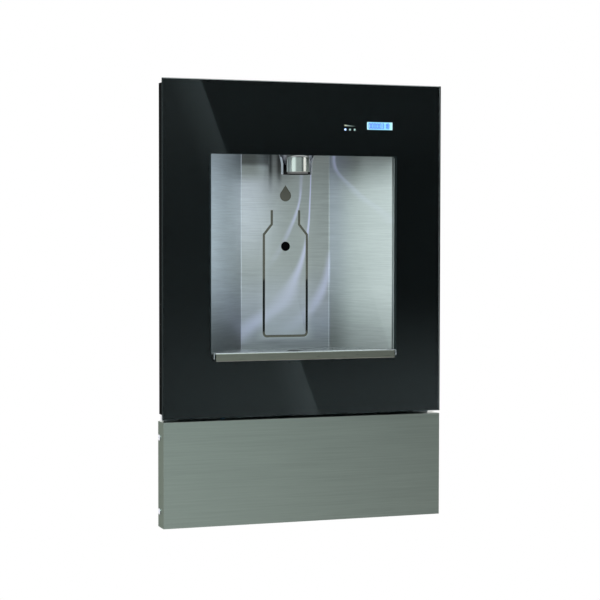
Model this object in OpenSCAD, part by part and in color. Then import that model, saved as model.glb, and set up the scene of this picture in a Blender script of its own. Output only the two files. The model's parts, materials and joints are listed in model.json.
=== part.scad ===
// In-wall bottle filling station: a box between two studs, a splayed stainless alcove
// behind a glass front, and a lower access panel over the filter and the valves.
// Millimetres. X to the right, Y into the wall, Z up. The origin is the centre of the
// four wall screws, in the plane of the finished wall.

/* [Front] */
// Width of the glass front
front_w = 419; // [410:1:440]
// Height from the access panel's lower edge to the top of the glass
front_h = 626; // [600:1:660]
// Distance from the finished wall to the face of the glass
front_depth = 30; // [28:0.5:34]
// Thickness of the glass
glass_t = 5.6; // [4:0.1:6]
// Gap between the glass and the access panel
front_gap = 4; // [3:0.5:8]
// Height of the access panel
panel_h = 148.5; // [144:0.5:152]

/* [Alcove] */
// Width of the glass on each side of its cut-out
cutout_side = 69.8; // [66:0.1:74]
// Height of the glass below its cut-out
cutout_foot = 86.7; // [84:0.1:96]
// From the top of the glass to the top of the cut-out
cutout_drop = 103.4; // [100:0.1:106]
// Corner radius of the cut-out
cutout_r = 2; // [1:0.5:4]
// Depth of the alcove behind the face of the glass
alcove_depth = 86.5; // [82:0.5:88]
// How far each side of the alcove comes in towards the back wall
side_splay = 71.7; // [66:0.1:75]
// Straight front part of the side walls, measured from the face of the glass
return_depth = 12; // [11:0.5:16]
// Thickness of the stainless sheet
sheet_t = 1.2; // [0.8:0.1:1.5]
// Height of the ceiling above the cut-out
ceiling_rise = 13.4; // [13:0.1:16]

/* [Bottle outline] */
// Width of the slots cut along the bottle's outline
slot_w = 3.7; // [2:0.1:4.5]
// Half-width of the outlined bottle's body, as a share of the back wall's width
bottle_share = 0.2456; // [0.21:0.0001:0.26]
// Half-width of the outlined bottle's neck, as a share of its body's
neck_share = 0.635; // [0.45:0.001:0.65]
// Distance of the bottle's neck below the top of the cut-out
bottle_drop = 77.1; // [72:0.1:95]
// Height of the shoulder
shoulder_h = 15; // [10:0.1:20]
// Height of the neck
neck_h = 20.7; // [12:0.1:24]
// Corner radius at the foot of the outlined bottle
bottle_corner_r = 5; // [2:0.5:10]
// Height of the outlined bottle's foot above the cut-out's lower edge
bottle_rise = 21.5; // [16:0.5:24]
// Radius of the round part of the drop
drop_r = 8.7; // [6:0.1:10]
// Height of the drop's tip above the centre of its round part
drop_tip = 15.3; // [12:0.1:16]
// Height of the drop's centre above the top of the bottle's neck
drop_rise = 21.6; // [18:0.1:24]
// Distance of the sensor window below the top of the bottle's neck
sensor_drop = 52.9; // [48:0.1:64]
// Radius of the sensor window
window_r = 6.8; // [5:0.1:8]

/* [Tray] */
// Thickness of the tray's sheet
tray_t = 1.5; // [1:0.1:2]
// How far the tray's lip stands in front of the glass
lip_reach = 7; // [6:0.5:14]
// How far the ends of the tray's lip stay inside the cut-out
lip_gap = 4.9; // [4.7:0.1:9]
// Height of the tray's lip
lip_h = 12.5; // [11:0.5:16]
// Height of the tray's front edge above the cut-out's lower edge
tray_rise = 5.3; // [4.9:0.1:7]
// Radius of the drain hole
drain_r = 12; // [8:0.5:13]
// Distance of the drain hole behind the face of the glass
drain_setback = 43; // [40:0.5:46]

/* [Nozzle] */
// Radius of the nozzle
nozzle_r = 17.2; // [14:0.1:18]
// Height of the nozzle
nozzle_h = 23.7; // [18:0.1:26]
// Distance of the nozzle's axis behind the face of the glass
nozzle_setback = 34; // [33:0.5:36]
// Radius of the rounded top edge of the nozzle
nozzle_round_r = 3; // [1:0.5:6]
// Inner radius of the shroud
shroud_r = 20.8; // [19:0.1:24]
// Thickness of the shroud's wall
shroud_t = 3; // [2:0.1:4]
// How much wider the shroud is at the ceiling
shroud_flare = 5; // [2:0.5:8]
// How far the shroud reaches below the nozzle
shroud_drop = 3.5; // [1:0.1:6]

/* [Display] */
// Width of the display
lcd_w = 39.6; // [30:0.2:44]
// Height of the display
lcd_h = 11; // [8:0.5:14]
// Distance of the display's centre from the right edge of the glass
lcd_side = 94.2; // [91.5:0.1:99.5]
// Distance of the display's centre below the top of the glass
lcd_drop = 59.6; // [54:0.1:60]
// Distance of the first filter light to the left of the display's centre
led_left = 53.2; // [52.5:0.1:55.5]
// Distance between the filter lights
led_pitch = 7.15; // [6:0.05:8]
// Distance of the filter lights below the top of the glass
led_drop = 65.6; // [62:0.1:66]
// Radius of a filter light
led_r = 1.35; // [1:0.05:1.6]

/* [Wall box] */
// How far the sides of the box lie inside the edges of the front
box_side = 28.5; // [27.5:0.5:30.5]
// Distance from the alcove's back wall to the back of the box
box_behind = 32.5; // [31.5:0.5:38]
// Height of the box's bottom above the access panel's lower edge
box_foot = 14; // [12:0.5:18]
// Distance of the box's top below the top of the glass
box_head = 14; // [12:0.5:18]
// Thickness of the galvanised sheet
box_t = 1.2; // [0.8:0.1:1.5]
// How far the flanges on the studs stay inside the edges of the front
ear_side = 6.5; // [5:0.5:8]
// Distance of the wall screws from the outer edges of the flanges
screw_edge = 10; // [8:0.5:12]
// Distance of the wall screws from the ends of the box
screw_end = 49; // [44:1:60]
// Radius of the wall screws' holes
wall_hole_r = 2.5; // [2:0.1:3]

/* [Filter] */
// Radius of the filter cartridge
filter_r = 31; // [26:0.5:33]
// Distance between the cartridge's body and the right side of the box
filter_gap = 52.5; // [47.5:0.5:90]
// Height of the cartridge's axis above the access panel's lower edge
filter_rise = 85; // [78:0.5:90]
// Distance of the cartridge's axis behind the finished wall
filter_y = 15; // [13:0.5:16]
// Distance of the filter head from the left side of the box
head_gap = 51.8; // [49.8:0.1:57.8]
// Length of the filter head
head_len = 30; // [28:0.5:34]
// Radius of the cartridge's neck
filter_neck_r = 20; // [17:0.5:21]

/* [Pipes] */
// Radius of the drain pipe
drain_pipe_r = 15.9; // [14:0.1:16.5]
// Wall thickness of the drain pipe
drain_pipe_t = 1.2; // [1:0.1:2]
// Distance of the waste outlet behind the finished wall
waste_y = 68; // [67:0.5:69]
// Radius of the water tube
tube_r = 3.175; // [2.5:0.005:3.5]
// Radius of the water tube's bore
tube_bore_r = 2.2; // [1.5:0.05:2.3]
// Radius of the inlet thread
inlet_r = 7.14; // [6:0.01:8]
// Radius of the mains cable's gland bore
gland_bore_r = 5; // [3:0.5:6]

/* [Hidden] */
$fn = 64;
// How far cuts run past a face, and joined pieces sink into each other
over = 1;
// Clearance between pieces that rest on each other or pass by
seat_gap = 0.3;
// Thickness of a bonded joint
bond_t = 0.1;
film_t = 0.3;
tape_t = 1;
carrier_t = 2;

bottom_z = -front_h / 2;
top_z = front_h / 2;
front_x = front_w / 2;
cutout_w = front_w - 2 * cutout_side;
cutout_h = front_h - panel_h - front_gap - cutout_foot - cutout_drop;
back_w = cutout_w - 2 * side_splay;
lip_w = cutout_w - 2 * lip_gap;
lcd_x = front_x - lcd_side;
led_x = lcd_x - led_left;
box_w = front_w - 2 * box_side;
ear_x = front_x - ear_side;
screw_x = ear_x - screw_edge;
panel_top_z = bottom_z + panel_h;
glass_z = panel_top_z + front_gap;
cutout_top_z = top_z - cutout_drop;
cutout_z = cutout_top_z - cutout_h;
glass_y = -front_depth;
glass_back_y = glass_y + glass_t;
film_y = glass_back_y + bond_t;
tape_y = film_y + film_t;
carrier_y = tape_y + tape_t;
carrier_back_y = carrier_y + carrier_t;
ear_y = -box_t;

// Frame and carrier behind the glass
carrier_inset = 0.9;
carrier_top_inset = 3;
frame_t = 2;
frame_inset = 2.2;
frame_end_inset = 5.6;
frame_front_lip = 10;
frame_back_lip = 18;
tape_edge = 1.5;
tape_w = 12;
film_edge = 0.4;
hook_w = 20;
hook_x = 110;
hook_t = 2;
hook_low = 12;
hook_high = 7;
tab_depth = 13;
tab_x = 120;
frame_x = front_x - frame_inset;
frame_z = glass_z + frame_end_inset;
frame_top_z = top_z - frame_end_inset;
frame_front_y = carrier_back_y;

// Alcove liner
liner_fit = 0.2;
liner_setback = glass_t + seat_gap;
liner_flange_w = 16;
ledge_w = 8;
return_x = cutout_w / 2 - liner_fit - sheet_t;
wall_y = glass_y + alcove_depth;
wall_back_y = wall_y + sheet_t;
return_y = glass_y + return_depth;
splay_a = atan2(return_x - back_w / 2, wall_y - return_y);
front_miter = tan(splay_a / 2);
back_miter = tan((90 - splay_a) / 2);
ceiling_z = cutout_top_z + ceiling_rise;

// Tray
tray_front_y = glass_y - lip_reach;
tray_z = cutout_z + tray_rise;
tray_back_fall = 1.5;
tray_dish_h = 1.2;
tray_bend_r = 2 * tray_t;
tray_flange_h = 9;
hem_h = 5;
drain_y = glass_y + drain_setback;
tray_back_z = tray_z - tray_back_fall;
tray_drain_z = tray_back_z - tray_dish_h;
ledge_z = tray_back_z - tray_t - seat_gap - tray_dish_h * ledge_w / (wall_y - drain_y);
tray_x = return_x - seat_gap;

// Drain
gasket_t = 1.5;
drain_flange_r = 22;
drain_flange_t = 3;
drain_cup_r = 17;
drain_cup_in_r = 14;
drain_ledge_r = 12;
drain_cup_h = 24;
strainer_t = 1.5;
strainer_drop = 8;
strainer_hole_r = 1.6;
strainer_rings = 3;
drain_nut_r = 22;
drain_nut_h = 12;
pipe_gap = 1;
drain_tail_h = drain_nut_h + pipe_gap;
pipe_bead_r = 19;
pipe_bead_h = 2;
drain_bend_r = 24;
waste_drop = 22;
gasket_z = tray_drain_z - tray_t - gasket_t;
drain_body_z = gasket_z - drain_flange_t;
drain_tail_z = drain_body_z - drain_cup_h;
pipe_in_r = drain_pipe_r - drain_pipe_t;
tail_r = pipe_in_r - seat_gap;
pipe_top_z = drain_tail_z - pipe_gap;
pipe_run_z = pipe_top_z - drain_nut_h - pipe_gap - drain_bend_r;
box_d = wall_y + box_behind;
box_z = bottom_z + box_foot;
box_top_z = top_z - box_head;
screw_z = [box_z + screw_end, box_top_z - screw_end];
waste_z = box_z - waste_drop;
box_in_z = box_z + box_t;
box_in_y = box_d - box_t;
box_in_x = box_w / 2 - box_t;

// Nozzle
nozzle_y = glass_y + nozzle_setback;
nozzle_top_rise = 0.8;
nozzle_top_z = cutout_top_z + nozzle_top_rise;
nozzle_z = nozzle_top_z - nozzle_h;
nozzle_neck_r = 8;
nozzle_neck_h = 24.6;
nozzle_bore_r = 4;
insert_r = 14.9;
insert_fit = 0.1;
insert_h = 5;
insert_proud = 2;
insert_bore_r = 5;
insert_rim = 2.5;
nozzle_nut_r = 14;
nozzle_nut_h = 6;
elbow_r = 9;
elbow_h = 26;
elbow_port_r = 7;
elbow_reach = 18;
shroud_open_a = 8.5;
shroud_z = nozzle_z - shroud_drop;
shroud_straight_h = 14.8;
shroud_flange_w = 5;
shroud_flange_t = 2;
neck_top_z = nozzle_top_z + nozzle_neck_h;
elbow_z = neck_top_z + elbow_h - elbow_r;

// Bottle outline, sensor and plate behind them
bottle_r = back_w * bottle_share;
neck_r = bottle_r * neck_share;
bottle_z = cutout_z + bottle_rise;
bottle_top_z = cutout_top_z - bottle_drop;
bottle_neck_z = bottle_top_z - neck_h;
bottle_body_z = bottle_neck_z - shoulder_h;
shoulder_miter = tan(atan2(shoulder_h, bottle_r - neck_r) * -1 / 2 + 45);
sensor_z = bottle_top_z - sensor_drop;
window_fit = 0.05;
window_proud = 0.3;
flank_share = 0.97;
backing_t = 2;
backing_side = 16.6;
backing_x = bottle_r + backing_side;
backing_margin = 10;
sensor_x = 20;
sensor_h = 40;
sensor_d = 20;
strap_t = 1.2;
strap_h = 16;
strap_foot = 12;
backing_y = wall_back_y;
backing_back_y = backing_y + backing_t;
drop_z = bottle_top_z + drop_rise;

// Lamp in the ceiling
lamp_x = 60;
lamp_d = 12;
lamp_h = 9;
lamp_t = 1;
lamp_lens_t = 1.5;
lamp_setback = 2;
lamp_y = carrier_back_y + lamp_setback;
lead_r = 2;
lead_fit = 0.4;
lead_bend_r = 6;
lead_step = 12;
lead_drop = 36;
lead_rise = 6;
lead_low = 24;
lead_aside = 21;
lead_under = 30;

// Display and its board
lcd_rim = 2;
lcd_depth = 4.4;
window_rim = 0.5;
board_t = 1.6;
board_gap = 2;
board_low = 16;
board_side = 9;
board_reach = 27.5;
board_left = led_x - board_side;
board_right = lcd_x + board_reach;
board_high = 16;
spacer_r = 3;
spacer_inset = 4.5;
board_screw_r = 1.25;
board_screw_head_r = 2.6;
board_screw_head_h = 1.8;
led_fit = 0.15;
led_foot_r = 2;
gauge_w = 16.9;
gauge_h = 2;
gauge_rise = 4.8;
plug_w = 12;
plug_h = 12;
plug_d = 10;
lcd_z = top_z - lcd_drop;
led_z = top_z - led_drop;
board_y = carrier_back_y + board_gap;
board_back_y = board_y + board_t;

// Filter head, cartridge and cradle
filter_z = bottom_z + filter_rise;
head_x = head_gap - box_in_x;
head_face_x = head_x + head_len;
head_r = 30;
neck_fit = 0.05;
filter_neck_len = 20;
lug_r = 23;
lug_w = 6;
lug_a = 30;
lug_fit = 0.3;
lug_slack_a = 0.6;
lug_setback = 3;
seal_r = 1.25;
seal_first = 12.5;
seal_pitch = 4.5;
seal_fit = 0.1;
dome_len = 10;
grip_len = 13;
grip_w = 46;
grip_t = 8;
port_r = 7;
port_h = 8;
port_spread = 12;
cradle_w = 10;
cradle_share = 0.82;
cradle_front = 25;
cradle_drop = 39;
cradle_foot_w = 26;
plate_t = 2;
head_bracket_w = 26;
head_bracket_h = 46;
head_bracket_t = 3;
head_bracket_bite = 7;
head_mid_x = head_x + head_len / 2;
cartridge_x = head_face_x + seat_gap;
cartridge_end_x = box_in_x - filter_gap;
filter_len = cartridge_end_x - cartridge_x;

// Water valves on the left
service_gap = 29.8;
service_x = box_in_x - service_gap;
inlet_y = 60;
inlet_body_r = 11;
inlet_body_h = 42;
inlet_flange_h = 5;
inlet_drop = 20;
inlet_hole_fit = 0.4;
thread_relief = 0.5;
inlet_bore_r = 4;
bulkhead_nut_r = 13;
bulkhead_nut_h = 5;
collet_r = 7.5;
collet_h = 8;
stem_rise = 22;
stem_r = 4;
stem_fit = 0.05;
stem_boss_r = 8;
stem_boss_len = 6;
stem_in = 7;
handle_len = 36;
handle_w = 13;
handle_t = 5;
handle_hub_r = 8;
handle_gap = 1.5;
valve_rise = 295;
valve_z = bottom_z + valve_rise;
valve_gap = 6.4;
valve_body_r = 11;
valve_half_h = 21;
valve_cap_r = 13;
valve_cap_len = 16;
guide_r = 6.5;
guide_len = 30;
plunger_r = 5;
plunger_fit = 0.05;
plunger_len = 28;
plunger_back = 10;
guide_end_t = 2;
coil_r = 17;
coil_len = 24;
coil_fit = 0.1;
coil_gap = 2;
valve_tip_y = return_y + valve_gap + max(0, return_x - service_x + coil_r) / tan(splay_a);
valve_y = valve_tip_y + guide_len + valve_cap_len;
terminal_w = 16;
terminal_h = 12;
spring_r = 3.2;
spring_wire_r = 0.4;
spring_turns = 3;
regulator_r = 9;
regulator_h = 26;
regulator_end_h = 6;
valve_bracket_w = 24;
valve_bracket_h = 32;
valve_bracket_foot = 10;
tube_bend_r = 12;
supply_loop_h = 24;
filtered_loop_h = 60;

// Electrical pieces on the right
gland_r = 10;
gland_fit = 0.2;
gland_head_r = 13;
gland_head_h = 12;
gland_thread_h = 14;
gland_nut_h = 5;
supply_gap = 82.8;
supply_x = box_in_x - supply_gap;
supply_w = 66;
supply_h = 90;
supply_d = 25;
supply_drop = 274;
supply_z = ceiling_z - supply_drop;
fin_pitch = 8;
fin_w = 3;
fin_h = 3;
control_gap = 85.8;
control_x = box_in_x - control_gap;
control_w = 72;
control_h = 88;
control_d = 27;
control_t = 2;
control_drop = 156;
control_z = ceiling_z - control_drop;
pcb_inset = 4.5;
pcb_y_back = 6.4;
relay_w = 20;
relay_h = 16;
relay_d = 14;
cap_r = 6;
cap_h = 16;
post_r = 3;

// Access panel and its fixings
panel_inset = 0.5;
panel_t = 1.2;
panel_back_gap = 0.3;
panel_lip = 5;
panel_screw_y = -9;
panel_screw_low = 22.1;
panel_screw_high = 125.9;
panel_screw_r = 2;
panel_hole_r = 2.3;
panel_head_r = 4.5;
panel_head_h = 0.9;
panel_recess_r = 1.7;
panel_recess_h = 0.5;
panel_nut_r = 4.4;
panel_nut_h = 3;
arm_t = 1.5;
arm_gap = 0.4;
arm_front_gap = 4;
arm_h = 28;
arm_foot_w = 11;
slot_fit = 0.5;
frame_screw_edge = 9.3;
frame_screw_x = frame_x - frame_screw_edge;
frame_screw_low = 28;
frame_screw_high = 20;
frame_screw_r = 2;
frame_head_r = 3.8;
frame_head_h = 2.4;
frame_screw_len = 10;
carrier_screw_r = 2;
carrier_head_r = 3.8;
carrier_head_h = 2.5;
carrier_screw_len = 10;
hex_key_r = 1.4;
hex_key_h = 1.2;
thread_fit = 0.1;
panel_x = front_x - panel_inset;
panel_back_y = ear_y - panel_back_gap;
arm_x = panel_x - panel_t - arm_gap;

// A block between three pairs of limits
module span(x, y, z) {
    translate([x[0], y[0], z[0]]) cube([x[1] - x[0], y[1] - y[0], z[1] - z[0]]);
}

// An X-Z outline between two distances from the wall
module facing(y) {
    translate([0, y[1], 0]) rotate([90, 0, 0]) linear_extrude(height = y[1] - y[0]) children();
}

// A Y-Z outline between two places across the width
module across(x) {
    translate([x[0], 0, 0]) rotate([90, 0, 90]) linear_extrude(height = x[1] - x[0]) children();
}

// An X-Y outline between two heights
module upright(z) {
    translate([0, 0, z[0]]) linear_extrude(height = z[1] - z[0]) children();
}

// Round bars along each axis, from a centre in the other two
module bar_x(r, x, y, z) {
    translate([x[0], y, z]) rotate([0, 90, 0]) cylinder(r = r, h = x[1] - x[0]);
}

module bar_y(r, x, y, z) {
    translate([x, y[1], z]) rotate([90, 0, 0]) cylinder(r = r, h = y[1] - y[0]);
}

module bar_z(r, x, y, z) {
    translate([x, y, z[0]]) cylinder(r = r, h = z[1] - z[0]);
}

module both_sides() {
    children();
    mirror([1, 0, 0]) children();
}

// A rectangle with round corners, from its centre lines
module round_rect(x, z, r) {
    translate([x[0] + r, z[0]]) square([x[1] - x[0] - 2 * r, z[1] - z[0]]);
    translate([x[0], z[0] + r]) square([x[1] - x[0], z[1] - z[0] - 2 * r]);
    for (cx = [x[0] + r, x[1] - r], cz = [z[0] + r, z[1] - r]) translate([cx, cz]) circle(r = r);
}

module rect(x, z) {
    translate([x[0], z[0]]) square([x[1] - x[0], z[1] - z[0]]);
}

// A quarter of a sheet's bend, opening towards the lower left of its centre
module quarter_bend(r, t) {
    intersection() {
        difference() {
            circle(r = r);
            circle(r = r - t);
        }
        square([r, r]);
    }
}

// A tube through square corners: straight runs and quarter-turn elbows, face to face
function unit(v) = v / norm(v);
function square_to(d) = abs(d[2]) > 0.5 ? [1, 0, 0] : [0, 0, 1];
function frame_of(a, b, c, p) = [
    [a[0], b[0], c[0], p[0]], [a[1], b[1], c[1], p[1]], [a[2], b[2], c[2], p[2]], [0, 0, 0, 1]
];

module ring(r, bore) {
    difference() {
        circle(r = r);
        if (bore > 0) circle(r = bore);
    }
}

module tube_run(route, r, bore, bend_r) {
    last = len(route) - 1;
    for (i = [0 : last - 1]) {
        d = unit(route[i + 1] - route[i]);
        first = route[i] + (i > 0 ? bend_r : 0) * d;
        end = route[i + 1] - (i < last - 1 ? bend_r : 0) * d;
        side = square_to(d);
        multmatrix(frame_of(side, cross(d, side), d, first))
            linear_extrude(height = norm(end - first)) ring(r, bore);
    }
    if (last > 1) for (i = [1 : last - 1]) {
        d1 = unit(route[i] - route[i - 1]);
        d2 = unit(route[i + 1] - route[i]);
        multmatrix(frame_of(-d2, d1, cross(d1, d2), route[i] + bend_r * (d2 - d1)))
            rotate_extrude(angle = 90) translate([bend_r, 0]) ring(r, bore);
    }
}

// Screws: a round head with a hexagonal socket, and a plain shank
module screw(r, len, head_r, head_h) {
    difference() {
        union() {
            cylinder(r = r, h = len);
            translate([0, 0, -head_h]) cylinder(r = head_r, h = head_h);
        }
        translate([0, 0, -head_h - over]) cylinder(r = hex_key_r, h = hex_key_h + over, $fn = 6);
    }
}

module nut(r, h, bore) {
    difference() {
        cylinder(r = r, h = h, $fn = 6);
        translate([0, 0, -over]) cylinder(r = bore, h = h + 2 * over);
    }
}

module at_wall_screws() {
    for (x = [-screw_x, screw_x], z = screw_z)
        translate([x, 0, z]) children();
}

module at_frame_screws() {
    for (x = [-frame_screw_x, frame_screw_x],
        z = [frame_z + frame_screw_low, frame_top_z - frame_screw_high])
        translate([x, 0, z]) children();
}

module at_panel_screws() {
    for (z = [bottom_z + panel_screw_low, bottom_z + panel_screw_high])
        both_sides() translate([0, panel_screw_y, z]) children();
}

module wall_box() {
    color("lightslategray") difference() {
        union() {
            span([-box_w / 2, box_w / 2], [ear_y, box_d], [box_z, box_top_z]);
            span([-ear_x, ear_x], [ear_y, 0], [box_z, box_top_z]);
        }
        span([-box_in_x, box_in_x], [ear_y - over, box_in_y], [box_in_z, box_top_z - box_t]);
        at_wall_screws() bar_y(wall_hole_r, 0, [ear_y - over, over], 0);
        at_frame_screws() bar_y(frame_screw_r + thread_fit, 0, [ear_y - over, over], 0);
        bar_z(drain_pipe_r + over, 0, waste_y, [box_z - over, box_in_z + over]);
        bar_z(inlet_r + inlet_hole_fit, -service_x, inlet_y, [box_z - over, box_in_z + over]);
        bar_z(gland_r + gland_fit, service_x, inlet_y, [box_z - over, box_in_z + over]);
    }
}

// Angles on the flanges, with a slot open to the front for each captive screw
module panel_brackets() {
    arm_y = glass_y + arm_front_gap;
    color("lightslategray") at_panel_screws() difference() {
        union() {
            span([arm_x - arm_t, arm_x], [arm_y - panel_screw_y, ear_y - panel_screw_y],
                [-arm_h / 2, arm_h / 2]);
            span([arm_x - arm_foot_w, arm_x], [ear_y - arm_t - panel_screw_y, ear_y - panel_screw_y],
                [-arm_h / 2, arm_h / 2]);
        }
        bar_x(panel_screw_r + slot_fit, [arm_x - arm_t - over, arm_x + over], 0, 0);
        span([arm_x - arm_t - over, arm_x + over], [arm_y - over - panel_screw_y, 0],
            [-panel_screw_r - slot_fit, panel_screw_r + slot_fit]);
    }
}

// The skirt that carries the glass, open at the front and back
module front_frame() {
    color("#15181a") difference() {
        span([-frame_x, frame_x], [frame_front_y, ear_y], [frame_z, frame_top_z]);
        span([-frame_x + frame_t, frame_x - frame_t], [frame_front_y + frame_t, ear_y - frame_t],
            [frame_z + frame_t, frame_top_z - frame_t]);
        span([-frame_x + frame_front_lip, frame_x - frame_front_lip],
            [frame_front_y - over, frame_front_y + frame_t + over],
            [frame_z + frame_front_lip, frame_top_z - frame_front_lip]);
        span([-frame_x + frame_back_lip, frame_x - frame_back_lip], [ear_y - frame_t - over, ear_y + over],
            [frame_z + frame_back_lip, frame_top_z - frame_back_lip]);
        at_frame_screws() bar_y(frame_screw_r + thread_fit, 0, [ear_y - frame_t - over, ear_y + over], 0);
        for (x = [-tab_x, tab_x])
            bar_z(carrier_screw_r + thread_fit, x, frame_front_y + tab_depth / 2,
                [frame_z - over, frame_z + frame_t + over]);
    }
}

module frame_screws() {
    color("silver") at_frame_screws() translate([0, ear_y - frame_t, 0]) rotate([-90, 0, 0])
        screw(frame_screw_r, frame_screw_len, frame_head_r, frame_head_h);
}

module display_holes(y, grow) {
    facing(y) rect([lcd_x - lcd_w / 2 - grow, lcd_x + lcd_w / 2 + grow],
        [lcd_z - lcd_h / 2 - grow, lcd_z + lcd_h / 2 + grow]);
}

module light_holes(y, r) {
    for (i = [0 : 2]) bar_y(r, led_x + i * led_pitch, y, led_z);
}

module gauge_outline(grow) {
    x = led_x - led_r;
    z = led_z + gauge_rise;
    polygon([[x - grow, z - grow], [x + gauge_w + grow, z - grow], [x + gauge_w + grow, z + grow],
        [x - grow, z + gauge_h + grow]]);
}

// Black steel plate bonded to the glass, with hooks at the top and screw tabs at the bottom
module carrier_plate() {
    x = front_x - carrier_inset;
    z = [glass_z + carrier_top_inset, top_z - carrier_top_inset];
    hook_z = frame_top_z - frame_front_lip;
    color("#101214") {
        difference() {
            facing([carrier_y, carrier_back_y]) difference() {
                rect([-x, x], z);
                round_rect([-cutout_w / 2, cutout_w / 2], [cutout_z, cutout_top_z], cutout_r);
            }
            display_holes([carrier_y - over, carrier_back_y + over], lcd_rim + window_rim);
            light_holes([carrier_y - over, carrier_back_y + over], led_foot_r + led_fit);
            facing([carrier_y - over, carrier_back_y + over]) gauge_outline(window_rim);
        }
        both_sides() {
            span([hook_x, hook_x + hook_w], [carrier_back_y, carrier_back_y + frame_t + seat_gap + hook_t],
                [hook_z - hook_low, hook_z - seat_gap]);
            span([hook_x, hook_x + hook_w],
                [carrier_back_y + frame_t + seat_gap, carrier_back_y + frame_t + seat_gap + hook_t],
                [hook_z - seat_gap, hook_z + hook_high]);
        }
        for (x = [-tab_x, tab_x]) difference() {
            union() {
                span([x - hook_w / 2, x + hook_w / 2], [carrier_back_y, carrier_back_y + hook_t],
                    [frame_z + frame_front_lip + seat_gap, frame_z + frame_front_lip + hook_low]);
                span([x - hook_w / 2, x + hook_w / 2],
                    [carrier_back_y + hook_t, carrier_back_y + tab_depth],
                    [frame_z + frame_front_lip + seat_gap, frame_z + frame_front_lip + seat_gap + hook_t]);
            }
            bar_z(carrier_screw_r + thread_fit, x, frame_front_y + tab_depth / 2,
                [frame_z + frame_front_lip - over, frame_z + frame_front_lip + hook_low + over]);
        }
    }
}

module carrier_screws() {
    color("silver") for (x = [-tab_x, tab_x])
        translate([x, frame_front_y + tab_depth / 2, frame_z])
            screw(carrier_screw_r, frame_front_lip + carrier_screw_len / 2, carrier_head_r, carrier_head_h);
}

// Foam tape round the rim of the glass and round the cut-out
module glass_tape() {
    x = front_x - tape_edge;
    z = [glass_z + frame_end_inset, top_z - frame_end_inset];
    cx = cutout_w / 2 + tape_edge;
    cz = [cutout_z - tape_edge, cutout_top_z + tape_edge];
    color("#1d1f1e") facing([tape_y, carrier_y]) {
        difference() {
            rect([-x, x], z);
            rect([-x + tape_w, x - tape_w], [z[0] + tape_w, z[1] - tape_w]);
        }
        difference() {
            rect([-cx - tape_w, cx + tape_w], [cz[0] - tape_w, cz[1] + tape_w]);
            rect([-cx, cx], cz);
        }
    }
}

module glass_outline(edge) {
    difference() {
        rect([-front_x + edge, front_x - edge], [glass_z + edge, top_z - edge]);
        round_rect([-cutout_w / 2 - edge, cutout_w / 2 + edge], [cutout_z - edge, cutout_top_z + edge],
            cutout_r + edge);
    }
}

module glass_panel() {
    color("#1c2426", 0.5) facing([glass_y, glass_back_y]) glass_outline(0);
}

// The black backing of the glass, clear where the display, lights and gauge show
module backing_film() {
    color("#0b0d0e") difference() {
        facing([film_y, tape_y]) glass_outline(film_edge);
        display_holes([film_y - over, tape_y + over], 0);
        light_holes([film_y - over, tape_y + over], led_r + led_fit);
        facing([film_y - over, tape_y + over]) gauge_outline(0);
    }
}

// Bottle outline: the body, shoulder and neck of a bottle, grown by a distance
module bottle_outline(grow, top) {
    shift = grow * shoulder_miter;
    r = bottle_corner_r + grow;
    x = bottle_r + grow;
    foot = bottle_z - grow;
    shoulder = bottle_body_z + shift;
    neck = bottle_neck_z + shift;
    nx = neck_r + grow;
    translate([-x, foot + r]) square([2 * x, shoulder - foot - r]);
    translate([-x + r, foot]) square([2 * (x - r), 2 * r]);
    for (side = [-1, 1]) translate([side * (x - r), foot + r]) circle(r = r);
    polygon([[-x, shoulder], [x, shoulder], [nx, neck], [-nx, neck]]);
    translate([-nx, neck]) square([2 * nx, bottle_top_z + top - neck]);
}

// A round drop whose flanks start just inside its circle and meet in a tip
module drop_outline() {
    flank_a = acos(drop_r / drop_tip);
    r = drop_r * flank_share;
    translate([0, drop_z]) {
        circle(r = drop_r);
        polygon([[0, drop_tip], [r * sin(flank_a), r * cos(flank_a)], [-r * sin(flank_a), r * cos(flank_a)]]);
    }
}

// One folded sheet: front returns, splayed sides and a back wall, with a ledge for the tray
function liner_inner() = [
    [return_x, glass_y + liner_setback], [return_x, return_y], [back_w / 2, wall_y],
    [-back_w / 2, wall_y], [-return_x, return_y], [-return_x, glass_y + liner_setback]
];
function liner_outer() = [
    [-return_x - sheet_t, glass_y + liner_setback], [-return_x - sheet_t, return_y + sheet_t * front_miter],
    [-back_w / 2 - sheet_t * back_miter, wall_back_y], [back_w / 2 + sheet_t * back_miter, wall_back_y],
    [return_x + sheet_t, return_y + sheet_t * front_miter], [return_x + sheet_t, glass_y + liner_setback]
];

// The alcove's floor area behind the carrier, drawn in from the walls by a distance
module alcove_plan(inset) {
    polygon([
        [-return_x + inset, return_y + inset * front_miter],
            [return_x - inset, return_y + inset * front_miter],
        [back_w / 2 - inset * back_miter, wall_y - inset],
            [-back_w / 2 + inset * back_miter, wall_y - inset]
    ]);
}

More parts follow.
